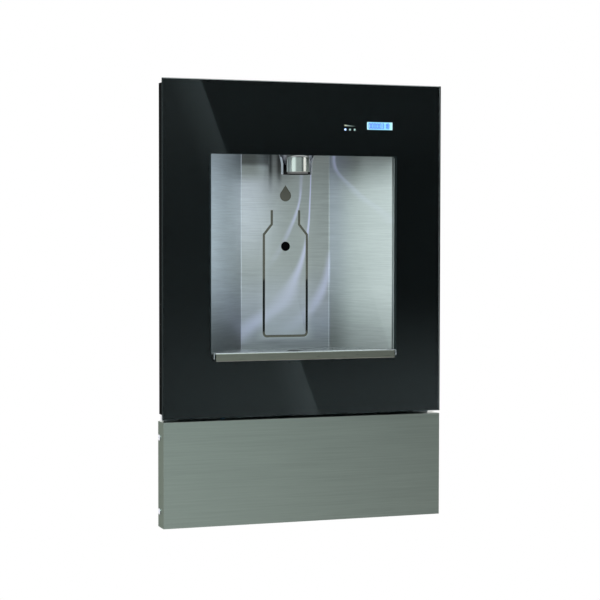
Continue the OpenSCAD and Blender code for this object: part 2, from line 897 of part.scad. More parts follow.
module alcove_liner() {
    low_z = ledge_z - sheet_t;
    color("#9aa0a3") difference() {
        union() {
            upright([low_z, ceiling_z]) polygon(concat(liner_inner(), liner_outer()));
            both_sides() span([return_x + sheet_t / 2, return_x + sheet_t + liner_flange_w],
                [carrier_back_y, carrier_back_y + sheet_t], [low_z, ceiling_z]);
            upright([low_z, ledge_z]) difference() {
                alcove_plan(-sheet_t / 2);
                alcove_plan(ledge_w);
                translate([-return_x, return_y - over]) square([2 * return_x, ledge_w + over]);
            }
        }
        both_sides() for (z = [[low_z - over, cutout_z + cutout_r + liner_fit],
            [cutout_top_z - cutout_r - liner_fit, ceiling_z + over]])
            span([return_x - over, return_x + sheet_t + over], [glass_y, carrier_back_y], z);
        facing([wall_y - over, wall_back_y + over]) {
            difference() {
                bottle_outline(slot_w / 2, 0);
                bottle_outline(-slot_w / 2, over);
            }
            drop_outline();
        }
        bar_y(window_r + window_fit, 0, [wall_y - over, wall_back_y + over], sensor_z);
    }
}

module alcove_ceiling() {
    z = ceiling_z + bond_t;
    cut_z = [z - over, z + sheet_t + over];
    color("#9aa0a3") difference() {
        upright([z, z + sheet_t]) polygon([
            [-return_x - sheet_t, carrier_back_y + sheet_t], [return_x + sheet_t, carrier_back_y + sheet_t],
            liner_outer()[4], liner_outer()[3], liner_outer()[2], liner_outer()[1]
        ]);
        bar_z(nozzle_neck_r + seat_gap, 0, nozzle_y, cut_z);
        bar_z(lead_r + lead_fit, lamp_x - lamp_t - 2 * lead_r, lamp_y + lamp_d / 2, cut_z);
    }
}

// The grey plate that shows through the slots
module outline_backing() {
    color("#5d6058") difference() {
        facing([backing_y, backing_back_y])
            rect([-backing_x, backing_x], [bottle_z - backing_margin, drop_z + drop_tip + backing_margin]);
        bar_y(window_r + window_fit, 0, [backing_y - over, backing_back_y + over], sensor_z);
    }
}

// The tray's top is broken along six creases that run down to the drain
module tray_plate() {
    x = lip_w / 2;
    y_front = tray_front_y + tray_bend_r;
    slope = (back_w / 2 - return_x) / (wall_y - return_y);
    wall_gap = seat_gap / cos(splay_a);
    y_side = return_y + (x + wall_gap - return_x) / slope;
    x_back = back_w / 2 - seat_gap * back_miter;
    y_back = wall_y - seat_gap;
    z_side = tray_z - tray_back_fall * (y_side - y_front) / (y_back - y_front);
    rim = [
        [-x, y_front, tray_z], [x, y_front, tray_z], [x, y_side, z_side],
        [x_back, y_back, tray_back_z], [-x_back, y_back, tray_back_z], [-x, y_side, z_side]
    ];
    count = len(rim);
    low = [0, 0, -tray_t];
    points = concat(rim, [for (p = rim) p + low],
        [[0, drain_y, tray_drain_z], [0, drain_y, tray_drain_z] + low]);
    faces = concat(
        [for (i = [0 : count - 1]) [(i + 1) % count, i, 2 * count]],
        [for (i = [0 : count - 1]) [count + i, count + (i + 1) % count, 2 * count + 1]],
        [for (i = [0 : count - 1]) [i, (i + 1) % count, count + (i + 1) % count]],
        [for (i = [0 : count - 1]) [i, count + (i + 1) % count, count + i]]
    );
    polyhedron(points, faces, convexity = 4);
}

module drip_tray() {
    lip_y = tray_front_y + tray_t;
    bend_z = tray_z - tray_bend_r;
    hem_z = tray_z - lip_h + tray_t;
    side_top = tray_z - tray_bend_r;
    color("#8f8f88") difference() {
        union() {
            tray_plate();
            across([-lip_w / 2, lip_w / 2]) {
                rect([tray_front_y, lip_y], [hem_z, bend_z]);
                rect([lip_y - tray_t / 2, lip_y + tray_t], [hem_z, hem_z + hem_h]);
                translate([lip_y, hem_z]) circle(r = tray_t);
                translate([tray_front_y + tray_bend_r, bend_z]) mirror([1, 0])
                    quarter_bend(tray_bend_r, tray_t);
            }
            both_sides() {
                facing([tray_front_y + tray_t / 2, return_y - seat_gap]) {
                    rect([tray_x - tray_t, tray_x], [cutout_z + cutout_r / 2, side_top]);
                    translate([tray_x - tray_bend_r, side_top]) quarter_bend(tray_bend_r, tray_t);
                }
                facing([tray_front_y + tray_t / 2, glass_y - seat_gap])
                    rect([tray_x - tray_t, tray_x], [tray_z - tray_flange_h, side_top]);
                span([lip_w / 2 - over, tray_x - tray_bend_r],
                    [tray_front_y + tray_bend_r, return_y - seat_gap],
                    [tray_z - tray_t, tray_z]);
            }
        }
        bar_z(drain_r, 0, drain_y, [tray_drain_z - tray_t - over, tray_z + over]);
    }
}

module drain_gasket() {
    color("#2a2a2a") translate([0, drain_y, gasket_z]) difference() {
        cylinder(r = drain_flange_r, h = gasket_t);
        translate([0, 0, -over]) cylinder(r = drain_cup_in_r, h = gasket_t + 2 * over);
    }
}

// A flanged cup with a ledge for the strainer and a tail that enters the pipe
module drain_body() {
    color("#c9cdcf") translate([0, drain_y, 0]) difference() {
        union() {
            translate([0, 0, drain_body_z]) cylinder(r = drain_flange_r, h = drain_flange_t);
            translate([0, 0, drain_tail_z]) cylinder(r = drain_cup_r, h = drain_cup_h);
            translate([0, 0, drain_tail_z - drain_tail_h]) cylinder(r = tail_r, h = drain_tail_h);
        }
        translate([0, 0, drain_body_z - strainer_drop])
            cylinder(r = drain_cup_in_r, h = strainer_drop + drain_flange_t + over);
        translate([0, 0, drain_tail_z - drain_tail_h - over])
            cylinder(r = drain_ledge_r, h = drain_tail_h + drain_cup_h + over);
    }
}

module drain_strainer() {
    r = drain_cup_in_r - insert_fit;
    pitch = r / (strainer_rings + 0.5);
    color("silver") translate([0, drain_y, drain_body_z - strainer_drop]) difference() {
        cylinder(r = r, h = strainer_t);
        for (ring_no = [0 : strainer_rings - 1], k = [0 : max(0, 6 * ring_no - 1)])
            rotate(ring_no > 0 ? 60 * k / ring_no : 0) translate([ring_no * pitch, 0, -over])
                cylinder(r = strainer_hole_r, h = strainer_t + 2 * over);
    }
}

module drain_nut() {
    color("#3a3d3f") translate([0, drain_y, pipe_top_z - drain_nut_h])
        nut(drain_nut_r, drain_nut_h, drain_pipe_r + thread_fit);
}

module drain_pipe() {
    color("#d8dadb") {
        tube_run([
            [0, drain_y, pipe_top_z], [0, drain_y, pipe_run_z], [0, waste_y, pipe_run_z],
                [0, waste_y, waste_z]
        ], drain_pipe_r, pipe_in_r, drain_bend_r);
        translate([0, waste_y, box_in_z]) linear_extrude(height = pipe_bead_h) ring(pipe_bead_r, pipe_in_r);
    }
}

// Half-round chrome shroud behind the nozzle, flared towards the ceiling
module nozzle_shroud() {
    mid_r = shroud_r + shroud_t / 2;
    bend_z = shroud_z + shroud_straight_h;
    flange_r = shroud_r + shroud_flare + shroud_t + shroud_flange_w;
    top = ceiling_z - bond_t;
    color("#c8ccd4") translate([0, nozzle_y, 0]) rotate([0, 0, shroud_open_a])
        rotate_extrude(angle = 180 - 2 * shroud_open_a) {
            translate([mid_r, shroud_z + shroud_t / 2]) circle(r = shroud_t / 2);
            polygon([
                [shroud_r, shroud_z + shroud_t / 2], [shroud_r + shroud_t, shroud_z + shroud_t / 2],
                [shroud_r + shroud_t, bend_z], [shroud_r + shroud_t + shroud_flare, top],
                [shroud_r + shroud_flare, top], [shroud_r, bend_z]
            ]);
            rect([shroud_r + shroud_flare + shroud_t / 2, flange_r], [top - shroud_flange_t, top]);
        }
}

module nozzle_body() {
    r = nozzle_r - nozzle_round_r;
    color("#a9a9a2") translate([0, nozzle_y, 0]) difference() {
        rotate_extrude() {
            rect([0, nozzle_r], [nozzle_z, nozzle_top_z - nozzle_round_r]);
            rect([0, r], [nozzle_z, nozzle_top_z]);
            intersection() {
                translate([r, nozzle_top_z - nozzle_round_r]) circle(r = nozzle_round_r);
                rect([r, nozzle_r], [nozzle_z, nozzle_top_z]);
            }
            rect([0, nozzle_neck_r], [nozzle_z, neck_top_z]);
        }
        translate([0, 0, nozzle_z - over])
            cylinder(r = nozzle_bore_r, h = neck_top_z - nozzle_z + 2 * over);
        translate([0, 0, nozzle_z - over])
            cylinder(r = insert_r + insert_fit, h = insert_h - insert_proud + over);
    }
}

// The outlet disc, dished round its bore
module nozzle_insert() {
    color("#6d706c") translate([0, nozzle_y, nozzle_z - insert_proud]) difference() {
        cylinder(r = insert_r, h = insert_h);
        translate([0, 0, -over]) cylinder(r = insert_bore_r, h = insert_h + 2 * over);
        translate([0, 0, -over]) cylinder(r = insert_r - insert_rim, h = insert_proud + over);
    }
}

module nozzle_nut() {
    color("silver") translate([0, nozzle_y, ceiling_z + bond_t + sheet_t])
        nut(nozzle_nut_r, nozzle_nut_h, nozzle_neck_r + thread_fit);
}

module nozzle_elbow() {
    color("#e6e6e2") difference() {
        union() {
            bar_z(elbow_r, 0, nozzle_y, [neck_top_z, neck_top_z + elbow_h]);
            bar_x(elbow_port_r, [-elbow_reach, 0], nozzle_y, elbow_z);
        }
        bar_z(nozzle_bore_r, 0, nozzle_y, [neck_top_z - over, elbow_z]);
        bar_x(tube_bore_r, [-elbow_reach - over, 0], nozzle_y, elbow_z);
    }
}

// Lamp channel under the ceiling, behind the top of the cut-out
module alcove_lamp() {
    color("silver") difference() {
        span([-lamp_x, lamp_x], [lamp_y, lamp_y + lamp_d], [ceiling_z - lamp_h, ceiling_z]);
        span([-lamp_x + lamp_t, lamp_x - lamp_t], [lamp_y + lamp_t, lamp_y + lamp_d - lamp_t],
            [ceiling_z - lamp_h - over, ceiling_z - lamp_t]);
    }
}

module lamp_lens() {
    gap = lamp_t + bond_t;
    color("white") span([-lamp_x + gap, lamp_x - gap], [lamp_y + gap, lamp_y + lamp_d - gap],
        [ceiling_z - lamp_h, ceiling_z - lamp_h + lamp_lens_t]);
}

module sensor_window() {
    color("black") bar_y(window_r, 0, [wall_y - window_proud, backing_back_y], sensor_z);
}

module sensor_housing() {
    color("#26292b") span([-sensor_x, sensor_x], [backing_back_y, backing_back_y + sensor_d],
        [sensor_z - sensor_h / 2, sensor_z + sensor_h / 2]);
}

module sensor_bracket() {
    x = sensor_x + seat_gap;
    y = backing_back_y + sensor_d + seat_gap;
    color("lightslategray") upright([sensor_z - strap_h / 2, sensor_z + strap_h / 2]) {
        difference() {
            rect([-x - strap_t, x + strap_t], [backing_back_y, y + strap_t]);
            rect([-x, x], [backing_back_y - over, y]);
        }
        both_sides_flat() rect([x + strap_t, x + strap_t + strap_foot],
            [backing_back_y, backing_back_y + strap_t]);
    }
}

module both_sides_flat() {
    children();
    mirror([1, 0]) children();
}

module lcd_display() {
    x = lcd_w / 2 + lcd_rim;
    z = lcd_h / 2 + lcd_rim;
    color("deepskyblue") facing([board_y - lcd_depth, board_y]) translate([lcd_x, lcd_z])
        rect([-x, x], [-z, z]);
}

module filter_lights() {
    color("lightcyan") {
        light_holes([film_y + bond_t, board_y], led_r);
        light_holes([carrier_back_y, board_y], led_foot_r);
    }
}

module filter_gauge() {
    color("wheat") facing([tape_y, board_y]) gauge_outline(0);
}

module display_board() {
    z = [lcd_z - board_low, lcd_z + board_high];
    color("darkgreen") difference() {
        union() {
            span([board_left, board_right], [board_y, board_back_y], z);
            span([board_right - plug_w, board_right], [board_back_y, board_back_y + plug_d],
                [lcd_z - plug_h / 2, lcd_z + plug_h / 2]);
            span([board_left + spacer_inset, board_left + spacer_inset + plug_w],
                [board_back_y, board_back_y + plug_d],
                [z[0] + 2 * spacer_inset, z[0] + 2 * spacer_inset + plug_h]);
        }
        at_board_corners() bar_y(board_screw_r + thread_fit, 0, [board_y - over, board_back_y + over], 0);
    }
}

module at_board_corners() {
    for (x = [board_left + spacer_inset, board_right - spacer_inset],
         z = [lcd_z - board_low + spacer_inset, lcd_z + board_high - spacer_inset])
        translate([x, 0, z]) children();
}

module board_spacers() {
    color("#d9d9d4") {
        at_board_corners() difference() {
            bar_y(spacer_r, 0, [carrier_back_y, board_y], 0);
            bar_y(board_screw_r + thread_fit, 0, [carrier_back_y - over, board_y + over], 0);
        }
        at_control_corners() bar_y(post_r, 0, [box_in_y - pcb_y_back, box_in_y], 0);
    }
}

module board_screws() {
    color("silver") at_board_corners() translate([0, board_back_y, 0]) rotate([90, 0, 0])
        screw(board_screw_r, board_t + board_gap, board_screw_head_r, board_screw_head_h);
}

module solenoid_body() {
    y_cap = valve_y - valve_cap_len;
    color("#e0e0da") difference() {
        union() {
            bar_z(valve_body_r, -service_x, valve_y, [valve_z - valve_half_h, valve_z + valve_half_h]);
            bar_z(collet_r, -service_x, valve_y,
                [valve_z - valve_half_h - collet_h, valve_z - valve_half_h]);
            bar_y(valve_cap_r, -service_x, [y_cap, valve_y], valve_z);
            bar_y(guide_r, -service_x, [y_cap - guide_len, y_cap], valve_z);
        }
        bar_z(tube_bore_r, -service_x, valve_y,
            [valve_z - valve_half_h - collet_h - over, valve_z + valve_half_h + over]);
        bar_y(plunger_r + plunger_fit, -service_x,
            [y_cap - guide_len + guide_end_t, valve_y - plunger_back + 2 * seat_gap], valve_z);
    }
}

module solenoid_coil() {
    y_cap = valve_y - valve_cap_len;
    y = [y_cap - coil_gap - coil_len, y_cap - coil_gap];
    color("#20242a") difference() {
        union() {
            bar_y(coil_r, -service_x, y, valve_z);
            span([-service_x - terminal_w / 2, -service_x + terminal_w / 2],
                [y[0] + coil_gap, y[1] - coil_gap],
                [valve_z, valve_z + coil_r + terminal_h]);
        }
        bar_y(guide_r + coil_fit, -service_x, [y[0] - over, y[1] + over], valve_z);
    }
}

// A folded strap from the valve's back to the wall of the box
module solenoid_bracket() {
    y = valve_y + valve_body_r + seat_gap;
    z = [valve_z - valve_bracket_h / 2, valve_z + valve_bracket_h / 2];
    color("lightslategray") across([-service_x - valve_bracket_w / 2, -service_x + valve_bracket_w / 2]) {
        rect([y, y + plate_t], z);
        rect([y, box_in_y], [z[0], z[0] + plate_t]);
        rect([y, box_in_y], [z[1] - plate_t, z[1]]);
        rect([box_in_y - plate_t, box_in_y], [z[0] - valve_bracket_foot, z[0] + plate_t]);
        rect([box_in_y - plate_t, box_in_y], [z[1] - plate_t, z[1] + valve_bracket_foot]);
    }
}

module solenoid_plunger() {
    y = valve_y - plunger_back;
    color("#8a8f92") bar_y(plunger_r, -service_x, [y - plunger_len, y], valve_z);
}

// A coil spring between the guide's closed end and the plunger, as one unbroken wire
module solenoid_spring() {
    y0 = valve_y - valve_cap_len - guide_len + guide_end_t + spring_wire_r;
    y1 = valve_y - plunger_back - plunger_len - spring_wire_r;
    steps = 12;
    sides = 6;
    count = steps * spring_turns;
    pitch = (y1 - y0) / count;
    function wire_point(i, k) =
        let (a = 360 * i / steps, b = 360 * k / sides, r = spring_r + spring_wire_r * cos(b))
        [r * cos(a), y0 + i * pitch + spring_wire_r * sin(b), r * sin(a)];
    points = [for (i = [0 : count], k = [0 : sides - 1]) wire_point(i, k)];
    faces = concat(
        [[for (k = [0 : sides - 1]) k]],
        [for (i = [0 : count - 1], k = [0 : sides - 1])
            [i * sides + k, (i + 1) * sides + k, (i + 1) * sides + (k + 1) % sides]],
        [for (i = [0 : count - 1], k = [0 : sides - 1])
            [i * sides + k, (i + 1) * sides + (k + 1) % sides, i * sides + (k + 1) % sides]],
        [[for (k = [sides - 1 : -1 : 0]) count * sides + k]]
    );
    color("silver") translate([-service_x, 0, valve_z]) polyhedron(points, faces, convexity = 6);
}

module flow_regulator() {
    z = valve_z + valve_half_h;
    color("#dfe3e6") difference() {
        union() {
            bar_z(collet_r, -service_x, valve_y, [z, z + regulator_h + 2 * regulator_end_h]);
            bar_z(regulator_r, -service_x, valve_y,
                [z + regulator_end_h, z + regulator_end_h + regulator_h]);
        }
        bar_z(tube_bore_r, -service_x, valve_y, [z - over, z + regulator_h + 2 * regulator_end_h + over]);
    }
}

// Quarter-turn stop valve, clamped through the bottom of the box
module inlet_valve() {
    top = box_in_z + inlet_flange_h + inlet_body_h;
    stem_z = box_in_z + inlet_flange_h + stem_rise;
    color("#b8a878") difference() {
        union() {
            bar_z(inlet_body_r, -service_x, inlet_y, [box_in_z + inlet_flange_h, top]);
            bar_z(collet_r, -service_x, inlet_y, [top, top + collet_h]);
            translate([-service_x, inlet_y, box_in_z])
                cylinder(r = bulkhead_nut_r, h = inlet_flange_h, $fn = 6);
            bar_z(inlet_r, -service_x, inlet_y, [box_z - inlet_drop, box_z - bulkhead_nut_h]);
            bar_z(inlet_r - thread_relief, -service_x, inlet_y, [box_z - bulkhead_nut_h, box_in_z + over]);
            bar_y(stem_boss_r, -service_x, [inlet_y - inlet_body_r - stem_boss_len, inlet_y], stem_z);
        }
        bar_z(inlet_bore_r, -service_x, inlet_y, [box_z - inlet_drop - over, stem_z - stem_r]);
        bar_z(tube_bore_r, -service_x, inlet_y, [stem_z + stem_r, top + collet_h + over]);
        bar_y(stem_r + stem_fit, -service_x,
            [inlet_y - inlet_body_r - stem_boss_len - over,
                inlet_y - inlet_body_r - stem_boss_len + stem_in + seat_gap], stem_z);
    }
}

module valve_handle() {
    stem_z = box_in_z + inlet_flange_h + stem_rise;
    face = inlet_y - inlet_body_r - stem_boss_len;
    y = [face - handle_gap - handle_t, face - handle_gap];
    color("steelblue") {
        bar_y(stem_r, -service_x, [y[0], face + stem_in], stem_z);
        bar_y(handle_hub_r, -service_x, y, stem_z);
        facing(y) translate([-service_x, stem_z])
            round_rect([-handle_len / 2, handle_len / 2], [-handle_w / 2, handle_w / 2],
                handle_w / 2 - seat_gap);
    }
}

module bulkhead_nut() {
    color("#b8a878") translate([-service_x, inlet_y, box_z - bulkhead_nut_h])
        nut(bulkhead_nut_r, bulkhead_nut_h, inlet_r - thread_relief + thread_fit);
}

// Filter head: a round body with two ports, a sealed bore and a bayonet groove
module filter_head() {
    groove_x = head_face_x - lug_setback - lug_w - lug_fit;
    color("#d7dadb") difference() {
        union() {
            bar_x(head_r, [head_x, head_face_x], filter_y, filter_z);
            for (y = [filter_y - port_spread, filter_y + port_spread])
                bar_z(port_r, head_mid_x, y, [filter_z, filter_z + head_r + port_h]);
        }
        bar_x(filter_neck_r + neck_fit, [head_face_x - filter_neck_len - seat_gap, head_face_x + over],
            filter_y, filter_z);
        bar_x(lug_r + lug_fit, [groove_x, groove_x + lug_w + 2 * lug_fit], filter_y, filter_z);
        for (a = [90, 270]) translate([groove_x, filter_y, filter_z]) rotate([0, 90, 0])
            rotate([0, 0, a - lug_a / 2 - lug_slack_a]) rotate_extrude(angle = lug_a + 2 * lug_slack_a)
                rect([filter_neck_r - over, lug_r + lug_fit], [0, head_face_x - groove_x + over]);
        for (y = [filter_y - port_spread, filter_y + port_spread])
            bar_z(tube_bore_r, head_mid_x, y, [filter_z, filter_z + head_r + port_h + over]);
    }
}

module head_bracket() {
    z = [filter_z - head_bracket_h / 2, filter_z + head_bracket_h / 2];
    y = [filter_y + head_r - head_bracket_bite, box_in_y];
    color("lightslategray") difference() {
        across([head_mid_x - head_bracket_w / 2, head_mid_x + head_bracket_w / 2]) difference() {
            rect(y, z);
            rect([filter_y + head_r + head_bracket_t, box_in_y - head_bracket_t],
                [z[0] + head_bracket_t, z[1] - head_bracket_t]);
        }
        bar_x(head_r + bond_t, [head_x - over, head_face_x + over], filter_y, filter_z);
    }
}

// Cartridge: neck with seal grooves and bayonet lugs, body with a domed end and a grip
module filter_cartridge() {
    neck_x = head_face_x - filter_neck_len;
    dome_r = (filter_r * filter_r + dome_len * dome_len) / (2 * dome_len);
    lug_x = head_face_x - lug_setback - lug_w;
    color("#e9ebec") translate([0, filter_y, filter_z]) {
        difference() {
            rotate([0, 90, 0]) rotate_extrude() {
                rect([0, filter_neck_r], [neck_x, cartridge_x + over]);
                rect([0, filter_r], [cartridge_x, cartridge_end_x]);
                intersection() {
                    translate([0, cartridge_end_x + dome_len - dome_r]) circle(r = dome_r);
                    rect([0, filter_r], [cartridge_end_x, cartridge_end_x + dome_len]);
                }
            }
            at_seals() rotate_extrude()
                rect([filter_neck_r - 2 * seal_r - seal_fit, filter_neck_r + over], [-seal_r, seal_r]);
        }
        for (a = [0, 180]) translate([lug_x, 0, 0]) rotate([0, 90, 0]) rotate([0, 0, a - lug_a / 2])
            rotate_extrude(angle = lug_a) rect([filter_neck_r - over, lug_r], [0, lug_w]);
        span([cartridge_end_x, cartridge_end_x + grip_len], [-grip_w / 2, grip_w / 2],
            [-grip_t / 2, grip_t / 2]);
    }
}

module at_seals() {
    for (i = [0, 1]) translate([head_face_x - seal_first - i * seal_pitch, 0, 0]) rotate([0, 90, 0])
        children();
}

module filter_seals() {
    color("#1a1a1a") translate([0, filter_y, filter_z]) at_seals() rotate_extrude()
        translate([filter_neck_r - seal_r, 0]) circle(r = seal_r - seal_fit);
}

// A saddle under the free end of the cartridge, on a foot against the box
module filter_cradle() {
    x = cartridge_x + filter_len * cradle_share;
    z = [filter_z - cradle_drop, filter_z];
    color("#2c3033") difference() {
        union() {
            across([x, x + cradle_w]) rect([filter_y - cradle_front, box_in_y], z);
            span([x + cradle_w / 2 - cradle_foot_w / 2, x + cradle_w / 2 + cradle_foot_w / 2],
                [box_in_y - plate_t, box_in_y], z);
        }
        bar_x(filter_r + seat_gap, [x - over, x + cradle_w + over], filter_y, filter_z);
    }
}

module supply_tube() {
    low = box_in_z + inlet_flange_h + inlet_body_h + collet_h;
    port_z = filter_z + head_r + port_h;
    turn_z = port_z + supply_loop_h;
    y = filter_y + port_spread;
    color("#d6d9d4") tube_run([
        [-service_x, inlet_y, low], [-service_x, inlet_y, turn_z], [-service_x, y, turn_z],
        [head_mid_x, y, turn_z], [head_mid_x, y, port_z]
    ], tube_r, tube_bore_r, tube_bend_r);
}

module filtered_tube() {
    port_z = filter_z + head_r + port_h;
    turn_z = port_z + filtered_loop_h;
    y = filter_y - port_spread;
    color("#c3d4e2") tube_run([
        [head_mid_x, y, port_z], [head_mid_x, y, turn_z], [-service_x, y, turn_z],
        [-service_x, valve_y, turn_z], [-service_x, valve_y, valve_z - valve_half_h - collet_h]
    ], tube_r, tube_bore_r, tube_bend_r);
}

module nozzle_tube() {
    color("#c3d4e2") tube_run([
        [-service_x, valve_y, valve_z + valve_half_h + regulator_h + 2 * regulator_end_h],
            [-service_x, valve_y, elbow_z],
        [-service_x, nozzle_y, elbow_z], [-elbow_reach, nozzle_y, elbow_z]
    ], tube_r, tube_bore_r, tube_bend_r);
}

// Power supply with cooling fins
module power_supply() {
    z = supply_z;
    y = box_in_y - supply_d;
    color("#3b4044") {
        span([supply_x, supply_x + supply_w], [y, box_in_y], [z, z + supply_h]);
        for (dz = [fin_pitch : fin_pitch : supply_h - fin_w - fin_pitch / 2])
            span([supply_x, supply_x + supply_w], [y - fin_h, y], [z + dz, z + dz + fin_w]);
    }
}

module at_control_corners() {
    z = control_z;
    for (cx = [control_x + 2 * pcb_inset, control_x + control_w - 2 * pcb_inset],
         cz = [z + 2 * pcb_inset, z + control_h - 2 * pcb_inset])
        translate([cx, 0, cz]) children();
}

module control_board() {
    x = [control_x + pcb_inset, control_x + control_w - pcb_inset];
    z = [control_z + pcb_inset, control_z + control_h - pcb_inset];
    y = box_in_y - pcb_y_back;
    color("darkgreen") {
        span(x, [y - board_t, y], z);
        for (i = [0, 1]) span([x[0] + relay_h / 2, x[0] + relay_h / 2 + relay_w],
            [y - board_t - relay_d, y - board_t],
            [z[0] + relay_h + 2 * i * relay_h, z[0] + 2 * relay_h + 2 * i * relay_h]);
        for (i = [0, 1]) bar_y(cap_r, x[1] - 2 * cap_r, [y - board_t - cap_h, y - board_t],
            z[0] + 4 * cap_r + 4 * i * cap_r);
    }
}

// Open-backed cover over the control board
module control_cover() {
    x = [control_x, control_x + control_w];
    z = [control_z, control_z + control_h];
    y = box_in_y - control_d;
    color("#2b2f33") difference() {
        span(x, [y, box_in_y], z);
        span([x[0] + control_t, x[1] - control_t], [y + control_t, box_in_y + over],
            [z[0] + control_t, z[1] - control_t]);
    }
}

// Gland for the mains cable, with its lock nut inside the box
module cable_gland() {
    color("#1f2122") translate([service_x, inlet_y, 0]) {
        difference() {
            union() {
                translate([0, 0, box_z - gland_head_h])
                    cylinder(r = gland_head_r, h = gland_head_h, $fn = 6);
                translate([0, 0, box_z - over]) cylinder(r = gland_r, h = gland_thread_h + over);
            }
            translate([0, 0, box_z - gland_head_h - over])
                cylinder(r = gland_bore_r, h = gland_head_h + gland_thread_h + 2 * over);
        }
        translate([0, 0, box_in_z]) nut(gland_head_r, gland_nut_h, gland_r + thread_fit);
    }
}

module wiring_harness() {
    y = box_in_y - control_d / 2;
    z0 = control_z;
    z1 = z0 + control_h;
    run_z = ceiling_z - lead_under;
    plug_x = board_right + lead_bend_r + lead_r;
    plug_y = board_back_y + plug_d / 2;
    coil_y = valve_y - valve_cap_len - coil_gap - coil_len / 2;
    coil_z = valve_z + coil_r + terminal_h / 2;
    coil_x = -service_x + terminal_w / 2;
    side_x = coil_x + lead_aside;
    gland_top = box_z + gland_thread_h + lead_r;
    lamp_lead_x = lamp_x - lamp_t - 2 * lead_r;
    color("#23262a") {
        tube_run([
            [service_x, inlet_y, gland_top], [service_x, inlet_y, supply_z - lead_drop],
            [service_x, y, supply_z - lead_drop], [service_x, y, supply_z]
        ], lead_r, 0, lead_bend_r);
        tube_run([[supply_x + supply_w / 2, y, supply_z + supply_h],
            [supply_x + supply_w / 2, y, z0]], lead_r, 0, lead_bend_r);
        tube_run([
            [plug_x, y, z1], [plug_x, y, ceiling_z + lead_rise], [plug_x, plug_y, ceiling_z + lead_rise],
            [plug_x, plug_y, lcd_z], [board_right, plug_y, lcd_z]
        ], lead_r, 0, lead_bend_r);
        tube_run([
            [control_x, y, z1 - lead_low], [control_x - lead_step, y, z1 - lead_low],
            [control_x - lead_step, y, run_z], [side_x, y, run_z], [side_x, y, coil_z],
            [side_x, coil_y, coil_z], [coil_x, coil_y, coil_z]
        ], lead_r, 0, lead_bend_r);
        tube_run([[sensor_x, y, sensor_z + sensor_h / 2 - lead_bend_r],
            [control_x, y, sensor_z + sensor_h / 2 - lead_bend_r]],
            lead_r, 0, lead_bend_r);
        tube_run([[lamp_lead_x, lamp_y + lamp_d / 2, ceiling_z],
            [lamp_lead_x, lamp_y + lamp_d / 2, lcd_z - board_low + 2 * spacer_inset]],
            lead_r, 0, lead_bend_r);
    }
}

// Brushed pan: a face with side walls, and a narrow lip at the top and bottom
module access_panel() {
    z = [bottom_z, panel_top_z];
    color("#8d948f") difference() {
        span([-panel_x, panel_x], [glass_y, panel_back_y], z);
        span([-panel_x + panel_t, panel_x - panel_t], [glass_y + panel_t, panel_back_y - panel_t],
            [z[0] + panel_t, z[1] - panel_t]);
        span([-panel_x + panel_t, panel_x - panel_t], [panel_back_y - panel_t - over, panel_back_y + over],
            [z[0] + panel_lip, z[1] - panel_lip]);
        at_panel_screws() bar_x(panel_hole_r, [panel_x - panel_t - over, panel_x + over], 0, 0);
    }
}

module panel_screws() {
    length = panel_t + arm_gap + arm_t + seat_gap + panel_nut_h + seat_gap;
    color("gainsboro") at_panel_screws() translate([panel_x, 0, 0]) rotate([0, -90, 0]) difference() {
        screw(panel_screw_r, length, panel_head_r, panel_head_h);
        translate([0, 0, -panel_head_h - over])
            cylinder(r = panel_recess_r, h = panel_recess_h + over, $fn = 6);
    }
}

module panel_nuts() {
    color("silver") at_panel_screws() translate([arm_x - arm_t - seat_gap, 0, 0]) rotate([0, -90, 0])
        nut(panel_nut_r, panel_nut_h, panel_screw_r + thread_fit);
}

wall_box();
panel_brackets();
front_frame();
frame_screws();
carrier_plate();
carrier_screws();
glass_tape();
glass_panel();
backing_film();
alcove_liner();
alcove_ceiling();
outline_backing();
drip_tray();
drain_gasket();
drain_body();
drain_strainer();
drain_nut();
drain_pipe();
nozzle_shroud();
nozzle_body();
nozzle_insert();
nozzle_nut();
nozzle_elbow();
alcove_lamp();
lamp_lens();
sensor_window();
sensor_housing();
sensor_bracket();
lcd_display();
filter_lights();
filter_gauge();
display_board();
board_spacers();
board_screws();
solenoid_body();
solenoid_coil();
solenoid_bracket();
solenoid_plunger();
solenoid_spring();
flow_regulator();
inlet_valve();
valve_handle();
bulkhead_nut();
filter_head();
head_bracket();
filter_cartridge();
filter_seals();
filter_cradle();
supply_tube();
filtered_tube();
nozzle_tube();
power_supply();
control_board();
control_cover();
cable_gland();
wiring_harness();
access_panel();
panel_screws();
panel_nuts();
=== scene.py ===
import bmesh
import bpy
import json
import math
from mathutils import Matrix, Vector

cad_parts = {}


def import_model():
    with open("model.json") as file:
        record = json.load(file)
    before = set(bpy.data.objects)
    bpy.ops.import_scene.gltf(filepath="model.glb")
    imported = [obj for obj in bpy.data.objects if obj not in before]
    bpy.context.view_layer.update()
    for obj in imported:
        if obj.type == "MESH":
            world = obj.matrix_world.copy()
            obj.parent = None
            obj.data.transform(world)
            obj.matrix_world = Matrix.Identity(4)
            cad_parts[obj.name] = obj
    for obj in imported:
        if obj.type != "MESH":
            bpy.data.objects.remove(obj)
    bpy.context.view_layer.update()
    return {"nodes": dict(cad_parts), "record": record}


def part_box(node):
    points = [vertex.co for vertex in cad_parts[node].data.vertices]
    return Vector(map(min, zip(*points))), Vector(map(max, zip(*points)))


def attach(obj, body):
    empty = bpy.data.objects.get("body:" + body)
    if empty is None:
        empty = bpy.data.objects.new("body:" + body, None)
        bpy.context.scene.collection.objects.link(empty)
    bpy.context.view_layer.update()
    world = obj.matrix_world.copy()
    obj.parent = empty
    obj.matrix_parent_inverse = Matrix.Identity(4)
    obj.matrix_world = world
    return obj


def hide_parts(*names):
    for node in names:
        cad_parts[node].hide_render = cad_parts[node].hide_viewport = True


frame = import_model()
